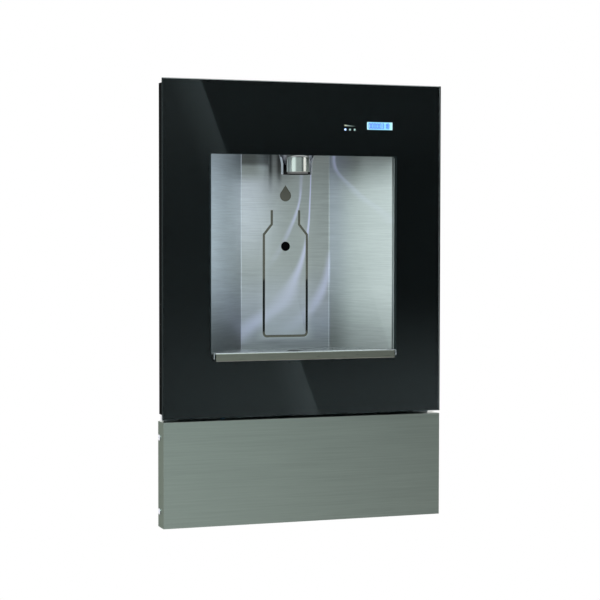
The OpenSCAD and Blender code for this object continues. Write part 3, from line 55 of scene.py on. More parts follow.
nodes = frame["nodes"]
body_of = {n: b for b, ns in frame["record"]["behaviour"]["bodies"].items() for n in ns}
slot_of = {s["node"]: s["material_slot"] for s in frame["record"]["subparts"]}
scene = bpy.context.scene
MM = 0.001
NOISE_LOW, NOISE_HIGH = 0.3, 0.7

# Places on the CAD that the looks line up with
GLASS_Y = -0.030
BACK_WALL_Y = 0.055
CORNER_X, CREASE_X = 0.0684, 0.0685
LCD_X, LCD_HALF_W = 0.1153, 0.0198
DIGITS_X, DIGITS_Z = 0.1143, 0.2534
LED_X, LED_Z, LED_SPLIT_X = 0.0621, 0.2474, 0.0657
SPOUT_Y, SHROUD_BORE_R = 0.004, 0.0222
HOOK_X, LIP_Y = 0.1385, -0.0365
DRAIN_Y, DRAIN_RIM_R = 0.013, 0.0125
FLOOR_Z = -1.15


# Shader helpers: add() makes a node, and sets or links its inputs
def add(tree, kind, ins=None, out=0, **settings):
    n = tree.nodes.new("ShaderNode" + kind)
    for key, value in settings.items():
        setattr(n, key, value)
    for key, value in (ins or {}).items():
        if isinstance(value, bpy.types.NodeSocket):
            tree.links.new(value, n.inputs[key])
        else:
            n.inputs[key].default_value = value
    return n.outputs[out]


def math_node(tree, op, a, b=0.0):
    return add(tree, "Math", {0: a, 1: b}, operation=op)


def product(tree, *factors):
    out = factors[0]
    for f in factors[1:]:
        out = math_node(tree, "MULTIPLY", out, f)
    return out


def largest(tree, *values):
    out = values[0]
    for v in values[1:]:
        out = math_node(tree, "MAXIMUM", out, v)
    return out


def radius(tree, x, y):
    return math_node(tree, "SQRT", math_node(tree, "ADD", product(tree, x, x), product(tree, y, y)))


def seen_rays(tree, path):
    """1 for camera, glossy and transmission rays, 0 for the others."""
    return largest(tree, path.outputs["Is Camera Ray"], path.outputs["Is Glossy Ray"],
                   path.outputs["Is Transmission Ray"])


def remap(tree, value, low, high, to_low, to_high, kind="LINEAR"):
    return add(tree, "MapRange", {"Value": value, "From Min": low, "From Max": high, "To Min": to_low,
                                  "To Max": to_high}, interpolation_type=kind)


def smooth(tree, value, low, high, to_low, to_high):
    return remap(tree, value, low, high, to_low, to_high, "SMOOTHSTEP")


def mixed(tree, fac, a, b, blend="MIX"):
    return add(tree, "Mix", {0: fac, 6: a, 7: b}, out=2, data_type="RGBA", blend_type=blend)


def blend_value(tree, fac, a, b):
    return add(tree, "Mix", {0: fac, 2: a, 3: b}, data_type="FLOAT")


def from_noise(tree, noise, to_low, to_high):
    """Spreads the middle of a noise's range from to_low to to_high."""
    return remap(tree, noise, NOISE_LOW, NOISE_HIGH, to_low, to_high)


def grey(tree, tone):
    return add(tree, "CombineColor", {0: tone, 1: tone, 2: tone})


def rgb(c):
    return (c[0], c[1], c[2], 1.0)


def shade(c, k):
    return tuple(min(max(v * k, 0.0), 1.0) for v in c[:3]) + (1.0,)


class Surface:
    """A procedural material in the piece's own coordinates, in metres."""

    def __init__(self, name):
        self.mat = bpy.data.materials.new(name)
        self.mat.use_nodes = True
        self.tree = self.mat.node_tree
        self.tree.nodes.clear()
        self.out = self.tree.nodes.new("ShaderNodeOutputMaterial")
        self.bsdf = self.tree.nodes.new("ShaderNodeBsdfPrincipled")
        self.tree.links.new(self.bsdf.outputs[0], self.out.inputs["Surface"])
        self.at = add(self.tree, "TexCoord", out=3)

    def noise(self, scale, detail=3.0, rough=0.6):
        where = add(self.tree, "Mapping", {"Vector": self.at, "Scale": scale})
        return add(self.tree, "TexNoise", {"Vector": where, "Scale": 1.0, "Detail": detail,
                                           "Roughness": rough})

    def axis(self, name):
        split = self.tree.nodes.new("ShaderNodeSeparateXYZ")
        self.tree.links.new(self.at, split.inputs[0])
        return split.outputs[name]

    def set(self, **values):
        for key, value in values.items():
            socket = self.bsdf.inputs[key.replace("_", " ")]
            if isinstance(value, bpy.types.NodeSocket):
                self.tree.links.new(value, socket)
            else:
                socket.default_value = value
        return self

    def bump(self, height, strength, distance):
        normal = add(self.tree, "Bump", {"Height": height, "Strength": strength, "Distance": distance})
        self.tree.links.new(normal, self.bsdf.inputs["Normal"])
        return self

    def worn(self, dark, light, amount=1.0):
        """Colour that turns lighter along convex edges, from the geometry's pointiness."""
        geo = self.tree.nodes.new("ShaderNodeNewGeometry")
        edge = smooth(self.tree, geo.outputs["Pointiness"], 0.5, 0.56, 0.0, amount)
        return mixed(self.tree, edge, dark, light)


def brushed(name, colour, grain=(22, 22, 520), across=(0, 0, 1), rough=0.3, aniso=0.75, spread=0.12,
            edge=1.25, cloud=0.06, bump=0.2, marks=None):
    s = Surface(name)
    t = s.tree
    fine = s.noise(grain, 4, 0.7)
    broad = s.noise((3.5, 3.5, 7), 2, 0.5)
    base = mixed(t, from_noise(t, fine, 0, 1), shade(colour, 1 - spread), shade(colour, 1 + spread))
    tone = from_noise(t, broad, 1 - cloud, 1 + cloud)
    base = mixed(t, 1.0, base, grey(t, tone), "MULTIPLY")
    if marks:
        base = marks(s, base)
    base = s.worn(base, shade(colour, edge), 0.8)
    s.set(Base_Color=base, Metallic=1.0, Roughness=from_noise(t, fine, rough - 0.04, rough + 0.05),
          Anisotropic=aniso)
    t.links.new(add(t, "CombineXYZ", {0: across[0], 1: across[1], 2: across[2]}), s.bsdf.inputs["Tangent"])
    return s.bump(fine, bump, 0.00006)


def polished(name, colour, rough=0.07, spot=0.03):
    s = Surface(name)
    t = s.tree
    film = s.noise((60, 60, 60), 4, 0.6)
    base = mixed(t, from_noise(t, film, 0, 1), shade(colour, 0.96), shade(colour, 1.03))
    s.set(Base_Color=s.worn(base, shade(colour, 1.12), 0.5), Metallic=1.0,
          Roughness=remap(t, film, 0.25, 0.75, rough - spot, rough + spot))
    return s.bump(s.noise((900, 900, 900), 2, 0.5), 0.05, 0.00002)


def plated(name, colour, rough=0.32, scale=300, metal=1.0):
    s = Surface(name)
    t = s.tree
    grainy = s.noise((scale, scale, scale), 4, 0.65)
    base = mixed(t, from_noise(t, grainy, 0, 1), shade(colour, 0.88), shade(colour, 1.08))
    s.set(Base_Color=s.worn(base, shade(colour, 1.25), 0.7), Metallic=metal,
          Roughness=from_noise(t, grainy, rough - 0.06, rough + 0.08))
    return s.bump(grainy, 0.25, 0.00005)


def galvanised(name, colour):
    s = Surface(name)
    t = s.tree
    warp = s.noise((40, 40, 40), 2, 0.5)
    where = add(t, "Mapping", {"Vector": s.at, "Scale": (75, 75, 75)})
    shift = add(t, "CombineXYZ", {0: warp, 1: warp, 2: warp})
    where = add(t, "VectorMath", {0: where, 1: shift}, operation="ADD")
    cell = add(t, "TexVoronoi", {"Vector": where, "Scale": 1.0}, out=1)
    tone = add(t, "SeparateColor", {0: cell}, out=0)
    base = mixed(t, tone, shade(colour, 0.82), shade(colour, 1.08))
    s.set(Base_Color=s.worn(base, shade(colour, 1.2), 0.6), Metallic=1.0,
          Roughness=remap(t, tone, 0, 1, 0.3, 0.5))
    return s.bump(s.noise((300, 300, 300), 3, 0.6), 0.2, 0.00006)


def moulded(name, colour, rough=0.45, scale=1500, bump=0.15, gloss=0.5, edge=1.3):
    s = Surface(name)
    t = s.tree
    skin = s.noise((scale, scale, scale), 3, 0.6)
    broad = s.noise((18, 18, 18), 3, 0.5)
    base = mixed(t, from_noise(t, broad, 0, 1), shade(colour, 0.93), shade(colour, 1.05))
    lighter = tuple(min(v * edge + 0.012, 1.0) for v in colour[:3]) + (1.0,)
    s.set(Base_Color=s.worn(base, lighter, 0.5), Roughness=from_noise(t, broad, rough - 0.05, rough + 0.05),
          Specular_IOR_Level=gloss)
    return s.bump(skin, bump, 0.00004)


def lit(name, colour, glow, strength):
    s = moulded(name, colour, 0.3, 1200, 0.05)
    s.set(Emission_Color=rgb(glow), Emission_Strength=strength)
    return s


def glass(name):
    s = Surface(name)
    t = s.tree
    smear = s.noise((25, 25, 25), 4, 0.6)
    s.set(Base_Color=(0.86, 0.97, 0.97, 1), Transmission_Weight=1.0, IOR=1.27,
          Roughness=remap(t, smear, 0.35, 0.75, 0.0, 0.012))
    return s


def circuit(name):
    s = Surface(name)
    t = s.tree
    where = add(t, "Mapping", {"Vector": s.at, "Scale": (260, 260, 260)})
    line = add(t, "TexVoronoi", {"Vector": where, "Scale": 1.0}, distance="MANHATTAN", feature="F1")
    trace = remap(t, line, 0.42, 0.5, 0, 1)
    s.set(Base_Color=mixed(t, trace, (0.012, 0.11, 0.045, 1), (0.05, 0.26, 0.12, 1)), Roughness=0.3)
    return s.bump(trace, 0.3, 0.00005)


def display(name):
    """A lit liquid crystal cell, paler towards its ends."""
    s = Surface(name)
    t = s.tree
    x = math_node(t, "ABSOLUTE", math_node(t, "SUBTRACT", s.axis("X"), LCD_X))
    ends = smooth(t, x, 0.013, LCD_HALF_W, 0, 1)
    glow = mixed(t, ends, (0.33, 0.7, 1.0, 1), (0.68, 0.95, 1.0, 1))
    s.set(Base_Color=(0.1, 0.2, 0.26, 1), Roughness=0.4, Emission_Color=glow, Emission_Strength=1.0)
    return s.bump(s.noise((900, 900, 900), 2, 0.5), 0.05, 0.00002)


def indicator(name):
    """The first of the three lights is lit; the other two are unlit pale domes, whose paleness is a painted
    glow.
    """
    s = Surface(name)
    t = s.tree
    off = remap(t, s.axis("X"), LED_SPLIT_X - 0.1 * MM, LED_SPLIT_X + 0.1 * MM, 0, 1)
    dx = math_node(t, "SUBTRACT", s.axis("X"), LED_X)
    dz = math_node(t, "SUBTRACT", s.axis("Z"), LED_Z)
    ring = remap(t, radius(t, dx, dz), 0.8 * MM, 1.3 * MM, 0, 1, "SMOOTHSTEP")
    core = mixed(t, ring, (0.9, 0.95, 1, 1), (0.02, 0.15, 1, 1))
    s.set(Base_Color=(0.5, 0.55, 0.52, 1), Roughness=0.3,
          Emission_Color=mixed(t, off, core, (0.11, 0.135, 0.125, 1)), Emission_Strength=2.4)
    return s.bump(s.noise((1500, 1500, 1500), 2, 0.5), 0.05, 0.00002)


def gauge(name):
    s = Surface(name)
    t = s.tree
    along = smooth(t, s.axis("X"), 0.0616, 0.0671, 0, 1)
    glow = mixed(t, along, (0.5, 0.36, 0.19, 1), (0.16, 0.19, 0.17, 1))
    s.set(Base_Color=(0.3, 0.3, 0.28, 1), Roughness=0.4, Emission_Color=glow, Emission_Strength=1.0)
    return s.bump(s.noise((1500, 1500, 1500), 2, 0.5), 0.05, 0.00002)


SLOT_GREY = (0.12, 0.125, 0.1)


def backing(name):
    """Grey behind the slots, and black behind their middle part, between the two ramps in z."""
    s = moulded(name, SLOT_GREY, 0.5, 900, 0.2)
    t = s.tree
    upper = smooth(t, s.axis("Z"), 0.028, 0.034, 0, 1)
    lower = smooth(t, s.axis("Z"), -0.043, -0.049, 0, 1)
    base = mixed(t, largest(t, upper, lower), (0.008, 0.008, 0.007, 1), rgb(SLOT_GREY))
    s.set(Base_Color=base, Specular_IOR_Level=0.2)
    return s


def clear_dark(name, colour):
    s = Surface(name)
    smear = s.noise((200, 200, 200), 3, 0.6)
    s.set(Base_Color=rgb(colour), Roughness=from_noise(s.tree, smear, 0.12, 0.2), Specular_IOR_Level=0.01)
    return s.bump(smear, 0.02, 0.00002)


def course(t, z, points, low, high):
    """A smooth curve over z through given (z, value) points; low and high bound the values."""
    n = t.nodes.new("ShaderNodeFloatCurve")
    first, last = points[0][0], points[-1][0]
    curve = n.mapping.curves[0]
    while len(curve.points) < len(points):
        curve.points.new(0.5, 0.5)
    for p, (at, value) in zip(curve.points, points):
        p.location = ((at - first) / (last - first), (value - low) / (high - low))
    n.mapping.update()
    t.links.new(remap(t, z, first, last, 0, 1), n.inputs["Value"])
    return remap(t, n.outputs[0], 0, 1, low, high)


# The marks that the lamp leaves in the alcove, painted for the photographed view.
# Each mark is (z, x), (z, width) and (z, strength), from the foot up. The last is on the right wall.
MARKS_TOP = 0.215
RIGHT_WALL_MARK = 3
MARKS = (
    (((-0.065, -0.080), (-0.045, -0.062), (-0.028, -0.039), (0.0, 0.0), (0.030, 0.0145), (0.060, 0.0262),
      (0.104, 0.0353), (0.148, 0.0382), (0.215, 0.040)),
     ((-0.065, 0.040), (0.0, 0.030), (0.030, 0.016), (0.060, 0.008), (0.104, 0.0038), (0.148, 0.0024),
      (0.215, 0.0016)),
     ((-0.065, 0.0), (-0.045, 0.3), (0.0, 0.45), (0.030, 0.6), (0.060, 0.85), (0.104, 1.0), (0.215, 1.0))),
    (((0.040, -0.034), (0.062, -0.0165), (0.084, -0.003), (0.104, 0.0068), (0.127, 0.0165), (0.148, 0.0222),
      (0.170, 0.0242), (0.215, 0.0255)),
     ((0.040, 0.012), (0.084, 0.0085), (0.127, 0.005), (0.148, 0.0036), (0.170, 0.005), (0.215, 0.006)),
     ((0.040, 0.0), (0.084, 0.25), (0.104, 0.5), (0.127, 0.7), (0.148, 0.7), (0.170, 0.35), (0.215, 0.2))),
    (((-0.060, -0.015), (-0.016, 0.038), (0.0, 0.0505), (0.022, 0.0615), (0.041, 0.0665), (0.075, 0.070)),
     ((-0.060, 0.040), (-0.016, 0.022), (0.022, 0.014), (0.075, 0.007)),
     ((-0.060, 0.0), (-0.016, 0.28), (0.022, 0.5), (0.041, 0.5), (0.075, 0.0))),
    (((0.112, 0.140), (0.129, 0.129), (0.151, 0.106), (0.169, 0.092), (0.187, 0.079), (0.197, 0.075),
      (0.215, 0.074)),
     ((0.112, 0.012), (0.151, 0.010), (0.187, 0.005), (0.215, 0.004)),
     ((0.112, 0.05), (0.151, 0.12), (0.187, 0.32), (0.197, 0.5), (0.215, 0.5))),
)


def light_mark(s, x_points, width_points, strength_points):
    """Strength of one curved mark of light: sharper on its right side than on its left."""
    t = s.tree
    z = s.axis("Z")
    ridge = course(t, z, x_points, -0.08, 0.14)
    width = course(t, z, width_points, 0.0, 0.04)
    off = math_node(t, "DIVIDE", math_node(t, "SUBTRACT", s.axis("X"), ridge), width)
    left = smooth(t, off, -1.0, 0.0, 0.0, 1.0)
    right = smooth(t, off, 0.0, 0.7, 1.0, 0.0)
    strength = course(t, z, strength_points, 0.0, 1.0)
    foot = strength_points[0][0]
    inside = product(t, remap(t, z, foot, foot + MM, 0, 1),
                     remap(t, z, MARKS_TOP, MARKS_TOP + 0.1 * MM, 1, 0))
    return product(t, product(t, left, right), product(t, strength, inside))


# Painted dark reflections at the top of the back wall: x, half-width and lowest z
PAINTED_DARK_REFLECTIONS = ((-0.0235, 0.005, 0.150), (-0.010, 0.006, 0.158))
# Painted light: factors that multiply or replace the steel's colour, so the left wall is painted lighter
# and the marks are a painted highlight, and painted glows that are added as emission
LEFT_WALL_PAINTED_LIGHT, MARK_PAINTED_HIGHLIGHT = (1.42, 1.47, 1.55, 1), (0.8, 0.81, 1.0, 1)
LEFT_GLOW, RIGHT_GLOW = (0.20, 0.245, 0.285, 1), (0.085, 0.1, 0.13, 1)
BACK_GLOW, LOW_GLOW = (0.17, 0.19, 0.235, 1), (0.03, 0.035, 0.075, 1)
CREASE_GLOW, MARK_GLOW = (0.2, 0.23, 0.27, 1), (0.1, 0.1, 0.17, 1)


def alcove_marks(s, base):
    """The lamp's light in the alcove, painted for the photographed view and not simulated.

    Curved marks and soft washes of light, with darker corners, foot and top.
    """
    t = s.tree
    x, z = s.axis("X"), s.axis("Z")
    on_back = remap(t, s.axis("Y"), BACK_WALL_Y - MM, BACK_WALL_Y + MM, 0, 1)
    on_left = remap(t, x, 0.2 * MM - CORNER_X, -0.2 * MM - CORNER_X, 0, 1)
    on_right = remap(t, x, CORNER_X - 0.2 * MM, CORNER_X + 0.2 * MM, 0, 1)

    marks = [light_mark(s, *mark) for mark in MARKS]
    walls = [on_right if i == RIGHT_WALL_MARK else on_back for i in range(len(marks))]
    light = largest(t, *(product(t, mark, wall) for mark, wall in zip(marks, walls)))
    corner = math_node(t, "MAXIMUM", smooth(t, x, CREASE_X, 0.098, 0.72, 1.0), on_back)
    foot = smooth(t, z, -0.075, 0.03, 0.55, 1.0)
    right_top = blend_value(t, on_right, 1.0, smooth(t, z, 0.15, 0.21, 1.0, 0.55))
    top = largest(t, smooth(t, z, 0.194, 0.202, 1.0, 0.36),
                  smooth(t, x, -0.030, -0.024, 0, 1), on_left)
    # Painted dark reflections near the top of the back wall
    dark_reflection = 1.0
    for at, half, low in PAINTED_DARK_REFLECTIONS:
        off = math_node(t, "ABSOLUTE", math_node(t, "SUBTRACT", x, at))
        off = smooth(t, off, 0.0, half, 1, 0)
        dark = product(t, off, smooth(t, z, low, 0.195, 0, 0.75), on_back)
        dark_reflection = math_node(t, "MULTIPLY", math_node(t, "SUBTRACT", 1.0, dark), dark_reflection)
    tone = product(t, corner, foot, top, right_top, dark_reflection)
    base = mixed(t, 1.0, base, grey(t, tone), "MULTIPLY")
    # The left wall is painted lighter: painted light from the lamp
    base = mixed(t, 1.0, base, mixed(t, on_left, (1, 1, 1, 1), LEFT_WALL_PAINTED_LIGHT), "MULTIPLY")

    lamp = product(t, smooth(t, z, -0.07, 0.09, 0.0, 1.0), smooth(t, z, 0.16, 0.22, 1.0, 0.72))
    left_wash = product(t, remap(t, x, -0.138, -0.069, 1.0, 0.35), on_left, lamp)
    right_wash = product(t, smooth(t, x, 0.07, 0.1, 1, 0), on_right, lamp)
    back_wash = product(t, smooth(t, x, -0.065, 0.01, 1.0, 0.0), on_back, top,
                        smooth(t, z, 0.02, 0.13, 0.0, 1.0), smooth(t, z, 0.165, 0.19, 1.0, 0.0))
    low_wash = product(t, on_back, smooth(t, z, 0.06, -0.01, 0.0, 1.0),
                       smooth(t, z, -0.07, -0.03, 0.3, 1.0))
    wash = mixed(t, left_wash, (0, 0, 0, 1), LEFT_GLOW)
    wash = mixed(t, right_wash, wash, RIGHT_GLOW)
    wash = mixed(t, back_wash, wash, BACK_GLOW)
    wash = mixed(t, low_wash, wash, LOW_GLOW)
    # A painted highlight along the bend of the left back corner
    crease = math_node(t, "ABSOLUTE", math_node(t, "ADD", x, CREASE_X))
    crease = product(t, remap(t, crease, 0.0004, 0.0014, 1, 0), remap(t, z, -0.04, 0.02, 0.4, 1))
    wash = mixed(t, crease, wash, CREASE_GLOW)
    wash = mixed(t, 1.0, wash, grey(t, from_noise(t, s.noise((20, 20, 500), 4, 0.7), 0.8, 1.2)), "MULTIPLY")
    s.set(Emission_Color=mixed(t, light, wash, MARK_GLOW), Emission_Strength=1.0)
    return mixed(t, light, base, MARK_PAINTED_HIGHLIGHT)


STEEL = (0.51, 0.53, 0.51)
surfaces = {
    "galvanised": galvanised("galvanised", (0.58, 0.6, 0.62)),
    "black_steel": moulded("black_steel", (0.016, 0.017, 0.018), 0.5, 900, 0.3),
    "front_glass": glass("front_glass"),
    "black_backing": clear_dark("black_backing", (0.0012, 0.0018, 0.002)),
    "foam": moulded("foam", (0.03, 0.031, 0.03), 0.85, 700, 0.8, 0.2),
    "brushed_stainless": brushed("brushed_stainless", STEEL, rough=0.34, marks=alcove_marks),
    "tray_stainless": brushed("tray_stainless", (0.45, 0.46, 0.47), (22, 400, 400), (0, 1, 0), 0.26, 0.5,
                              bump=0.06),
    # The lip's face is the tray's steel painted darker and browner, a painted dark reflection
    "lip_stainless": brushed("lip_stainless", (0.2, 0.2, 0.165), rough=0.3, aniso=0.6),
    # A pale metal for the tray's rounded edges and hooks, a painted highlight
    "bright_edge": plated("bright_edge", (0.8, 0.82, 0.84), 0.3),
    "panel_stainless": brushed("panel_stainless", (0.245, 0.27, 0.238), (9, 9, 700), rough=0.32, aniso=0.8,
                               spread=0.42, bump=0.4, cloud=0.03),
    # The panel's side flanges: a darker copy of the panel's steel, painted shade on the faces turned
    # sideways
    "panel_flange": brushed("panel_flange", (0.16, 0.18, 0.155), (16, 16, 480), rough=0.32, aniso=0.6,
                            spread=0.2, bump=0.3).set(Specular_Tint=(0.55, 0.6, 0.56, 1)),
    "glass_edge": moulded("glass_edge", (0.02, 0.028, 0.028), 0.6, 900, 0.1, 0.0),
    "black_skirt": moulded("black_skirt", (0.0035, 0.0045, 0.0045), 0.7, 900, 0.2, 0.0, 1.1),
    "outline_grey": backing("outline_grey"),
    "chrome": polished("chrome", (0.8, 0.8, 0.86)),
    "nickel": polished("nickel", (0.6, 0.61, 0.56), 0.14),
    "insert_grey": moulded("insert_grey", (0.2, 0.2, 0.19), 0.5),
    "zinc": plated("zinc", (0.66, 0.67, 0.69)),
    "black_rubber": moulded("black_rubber", (0.02, 0.02, 0.02), 0.75, 900, 0.4, 0.3),
    "drain_metal": polished("drain_metal", (0.66, 0.67, 0.68), 0.12),
    "brass": plated("brass", (0.66, 0.5, 0.24), 0.28, 220),
    "white_plastic": moulded("white_plastic", (0.78, 0.79, 0.78), 0.38),
    "black_plastic": moulded("black_plastic", (0.025, 0.026, 0.028), 0.5, 1100, 0.3),
    "handle_blue": moulded("handle_blue", (0.03, 0.13, 0.42), 0.35),
    "sensor_lens": clear_dark("sensor_lens", (0.002, 0.002, 0.003)),
    "display_blue": display("display_blue"),
    "light_white": indicator("light_white"),
    "gauge_beige": gauge("gauge_beige"),
    "circuit_board": circuit("circuit_board"),
    "lamp_aluminium": plated("lamp_aluminium", (0.62, 0.63, 0.65), 0.35),
    "lamp_diffuser": lit("lamp_diffuser", (0.85, 0.86, 0.9), (0.85, 0.88, 1.0), 0.35),
    "tube_blue": moulded("tube_blue", (0.2, 0.42, 0.66), 0.25, 1500, 0.05),
    "tube_white": moulded("tube_white", (0.72, 0.75, 0.72), 0.3, 1500, 0.05),
    "supply_grey": moulded("supply_grey", (0.05, 0.053, 0.056), 0.45, 800, 0.35),
    "wire_black": moulded("wire_black", (0.015, 0.015, 0.016), 0.6, 1500, 0.2),
}


for name, obj in nodes.items():
    for s in obj.material_slots:
        s.material = surfaces[slot_of[name]].mat


def from_bmesh(name, bm, coats, body, smooth_below=35):
    mesh = bpy.data.meshes.new(name)
    for surface in coats:
        mesh.materials.append(surface.mat)
    bmesh.ops.recalc_face_normals(bm, faces=bm.faces)
    bm.to_mesh(mesh)
    bm.free()
    for p in mesh.polygons:
        p.use_smooth = True
    mesh.set_sharp_from_angle(angle=math.radians(smooth_below))
    obj = bpy.data.objects.new(name, mesh)
    scene.collection.objects.link(obj)
    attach(obj, body)
    return obj


def refine(node, name, width, angle=30, segments=2, surface=None, also=(), sort=None, edge=0,
           smooth_below=35):
    """A welded copy of a CAD node whose sharp edges are rounded, in place of the node.

    sort(face) picks a face's surface: 0 for the first, 1 and up for those in also.
    edge is the bevels' surface.
    """
    bm = bmesh.new()
    bm.from_mesh(nodes[node].data)
    bmesh.ops.remove_doubles(bm, verts=bm.verts, dist=2e-6)
    bmesh.ops.dissolve_limit(bm, angle_limit=math.radians(0.4), verts=bm.verts, edges=bm.edges,
                             delimit={"SEAM"})
    bmesh.ops.recalc_face_normals(bm, faces=bm.faces)
    for f in bm.faces:
        f.material_index = sort(f) if sort else 0
    sharp = [e for e in bm.edges if len(e.link_faces) == 2 and e.calc_face_angle(0.0) > math.radians(angle)]
    bmesh.ops.bevel(bm, geom=sharp, offset=width, segments=segments, profile=0.7, affect="EDGES",
                    clamp_overlap=True, loop_slide=True, miter_outer="ARC", material=edge if edge else -1)
    slot = slot_of[node]
    coats = [surface or surfaces[slot]] + [surfaces[extra] for extra in also]
    obj = from_bmesh(name, bm, coats, body_of[node], smooth_below)
    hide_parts(node)
    weighted = obj.modifiers.new("weighted", "WEIGHTED_NORMAL")
    weighted.keep_sharp = True
    weighted.weight = 90
    return obj


def from_spout(face):
    c = face.calc_center_median()
    return math.hypot(c.x, c.y - SPOUT_Y)


def lip_sort(face):
    """The hooks, the lip's face and the drain's rim have surfaces of their own: a painted highlight on the
    hooks, a painted dark reflection on the lip's face, and black on the drain's rim as painted shade inside
    the drain.
    """
    c = face.calc_center_median()
    if abs(c.x) > HOOK_X and face.normal.y < -0.7:
        return 2
    if face.normal.y < -0.7 and c.y < LIP_Y:
        return 1
    if math.hypot(c.x, c.y - DRAIN_Y) < DRAIN_RIM_R and abs(face.normal.z) < 0.5:
        return 3
    return 0


refine("glass_panel", "glass_front", 0.3 * MM, also=("glass_edge",),
       sort=lambda f: abs(f.normal.y) < 0.5, edge=1)
refine("access_panel", "lower_panel", 0.9 * MM, segments=3, also=("panel_flange",),
       sort=lambda f: abs(f.normal.x) > 0.7)
# The tray's rounded edges take a painted highlight
refine("drip_tray", "tray_sheet", 0.6 * MM, angle=40, surface=surfaces["tray_stainless"],
       also=("lip_stainless", "bright_edge", "black_rubber"), sort=lip_sort, edge=2)
refine("alcove_liner", "alcove_sheet", 0.4 * MM, smooth_below=10)
refine("nozzle_shroud", "spout_shroud", 0.5 * MM, segments=3, also=("black_rubber",),
       sort=lambda f: from_spout(f) < SHROUD_BORE_R)
refine("nozzle_body", "spout", 0.35 * MM, segments=3)
refine("nozzle_insert", "spout_insert", 0.3 * MM)
refine("wall_box", "box_sheet", 0.35 * MM)
refine("front_frame", "frame_skirt", 0.4 * MM, surface=surfaces["black_skirt"])
refine("panel_screws", "side_screws", 0.2 * MM, angle=50)

# Seven-segment digits on the display
SEGMENTS = {"0": "abcdef", "1": "bc", "3": "abgcd", "8": "abcdefg"}


def bar(bm, x0, z0, x1, z1, t, y0, y1):
    """One segment: a bar with pointed ends, between two points."""
    a, b = Vector((x0, 0, z0)), Vector((x1, 0, z1))
    d = (b - a).normalized()
    n = Vector((-d.z, 0, d.x)) * t
    a, b = a + d * t * 0.25, b - d * t * 0.25
    ring = [a, a + d * t + n, b - d * t + n, b, b - d * t - n, a + d * t - n]
    front = [bm.verts.new((p.x, y0, p.z)) for p in ring]
    back = [bm.verts.new((p.x, y1, p.z)) for p in ring]
    bm.faces.new(front)
    bm.faces.new(reversed(back))
    for i in range(6):
        bm.faces.new((front[i - 1], front[i], back[i], back[i - 1]))


def digits(text, x_mid, z_mid, pitch, w, h, t):
    bm = bmesh.new()
    face_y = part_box("lcd_display")[0][1]
    y1, y0 = face_y + 0.01 * MM, face_y - 0.12 * MM
    for i, c in enumerate(text):
        x = x_mid + (i - (len(text) - 1) / 2) * pitch
        ends = {"a": (-w, h, w, h), "b": (w, h, w, 0), "c": (w, 0, w, -h), "d": (-w, -h, w, -h),
                "e": (-w, 0, -w, -h), "f": (-w, h, -w, 0), "g": (-w, 0, w, 0)}
        for k in SEGMENTS[c]:
            p = ends[k]
            bar(bm, x + p[0], z_mid + p[1], x + p[2], z_mid + p[3], t, y0, y1)
    ink = lit("digit_blue", (0.002, 0.01, 0.2), (0.0, 0.015, 0.7), 1.0)
    return from_bmesh("display_digits", bm, [ink], "chassis")


digits("00000318", DIGITS_X, DIGITS_Z, 4.1 * MM, 1.25 * MM, 3.4 * MM, 0.5 * MM)

# Floor, well below the part, fading into the background
def floor():
    bm = bmesh.new()
    rings, sides = [0.6, 1.2, 2.0, 3.0], 96
    turns = [2 * math.pi * k / sides for k in range(sides)]
    verts = [[bm.verts.new((r * math.cos(a), r * math.sin(a), FLOOR_Z)) for a in turns] for r in rings]
    centre = bm.verts.new((0, 0, FLOOR_Z))
    for k in range(sides):
        bm.faces.new((centre, verts[0][k - 1], verts[0][k]))
        for a, b in zip(verts, verts[1:]):
            bm.faces.new((a[k - 1], b[k - 1], b[k], a[k]))
    mesh = bpy.data.meshes.new("floor")
    bmesh.ops.recalc_face_normals(bm, faces=bm.faces)
    bm.to_mesh(mesh)
    bm.free()
    obj = bpy.data.objects.new("floor", mesh)
    scene.collection.objects.link(obj)
    s = Surface("floor_pale")
    t = s.tree
    s.set(Base_Color=(0.85, 0.85, 0.85, 1), Roughness=0.9, Specular_IOR_Level=0.1)
    path = t.nodes.new("ShaderNodeLightPath")
    r = radius(t, s.axis("X"), s.axis("Y"))
    fade = product(t, smooth(t, r, 0.7, 2.2, 0, 1), seen_rays(t, path))
    white = add(t, "Emission", {"Color": (1, 1, 1, 1), "Strength": 1.0})
    shown = add(t, "MixShader", {0: fade, 1: s.bsdf.outputs[0], 2: white})
    t.links.new(shown, s.out.inputs["Surface"])
    obj.data.materials.append(s.mat)


floor()

# Camera at the photograph's place, solved from its edges: place, angles in degrees, focal length
EYE = Vector((-0.83855, -2.35837, 0.0975))
YAW, PITCH, ROLL = 19.628, 2.169, 0.0787
FOCAL_PIXELS, IMAGE_PIXELS, SENSOR_MM = 1739.4, 600, 36


def camera():
    yaw, pitch, roll = (math.radians(v) for v in (YAW, PITCH, ROLL))
    level = math.cos(pitch)
    forward = Vector((math.sin(yaw) * level, math.cos(yaw) * level, -math.sin(pitch)))
    right = Vector((math.cos(yaw), -math.sin(yaw), 0))
    up = right.cross(forward)
    r = right * math.cos(roll) + up * math.sin(roll)
    u = up * math.cos(roll) - right * math.sin(roll)
    data = bpy.data.cameras.new("camera")
    data.sensor_width = SENSOR_MM
    data.lens = FOCAL_PIXELS / IMAGE_PIXELS * SENSOR_MM
    data.clip_start, data.clip_end = 0.05, 60
    obj = bpy.data.objects.new("camera", data)
    scene.collection.objects.link(obj)
    turn = Matrix((r, u, -forward)).transposed().to_4x4()
    obj.matrix_world = Matrix.Translation(EYE) @ turn
    scene.camera = obj


camera()


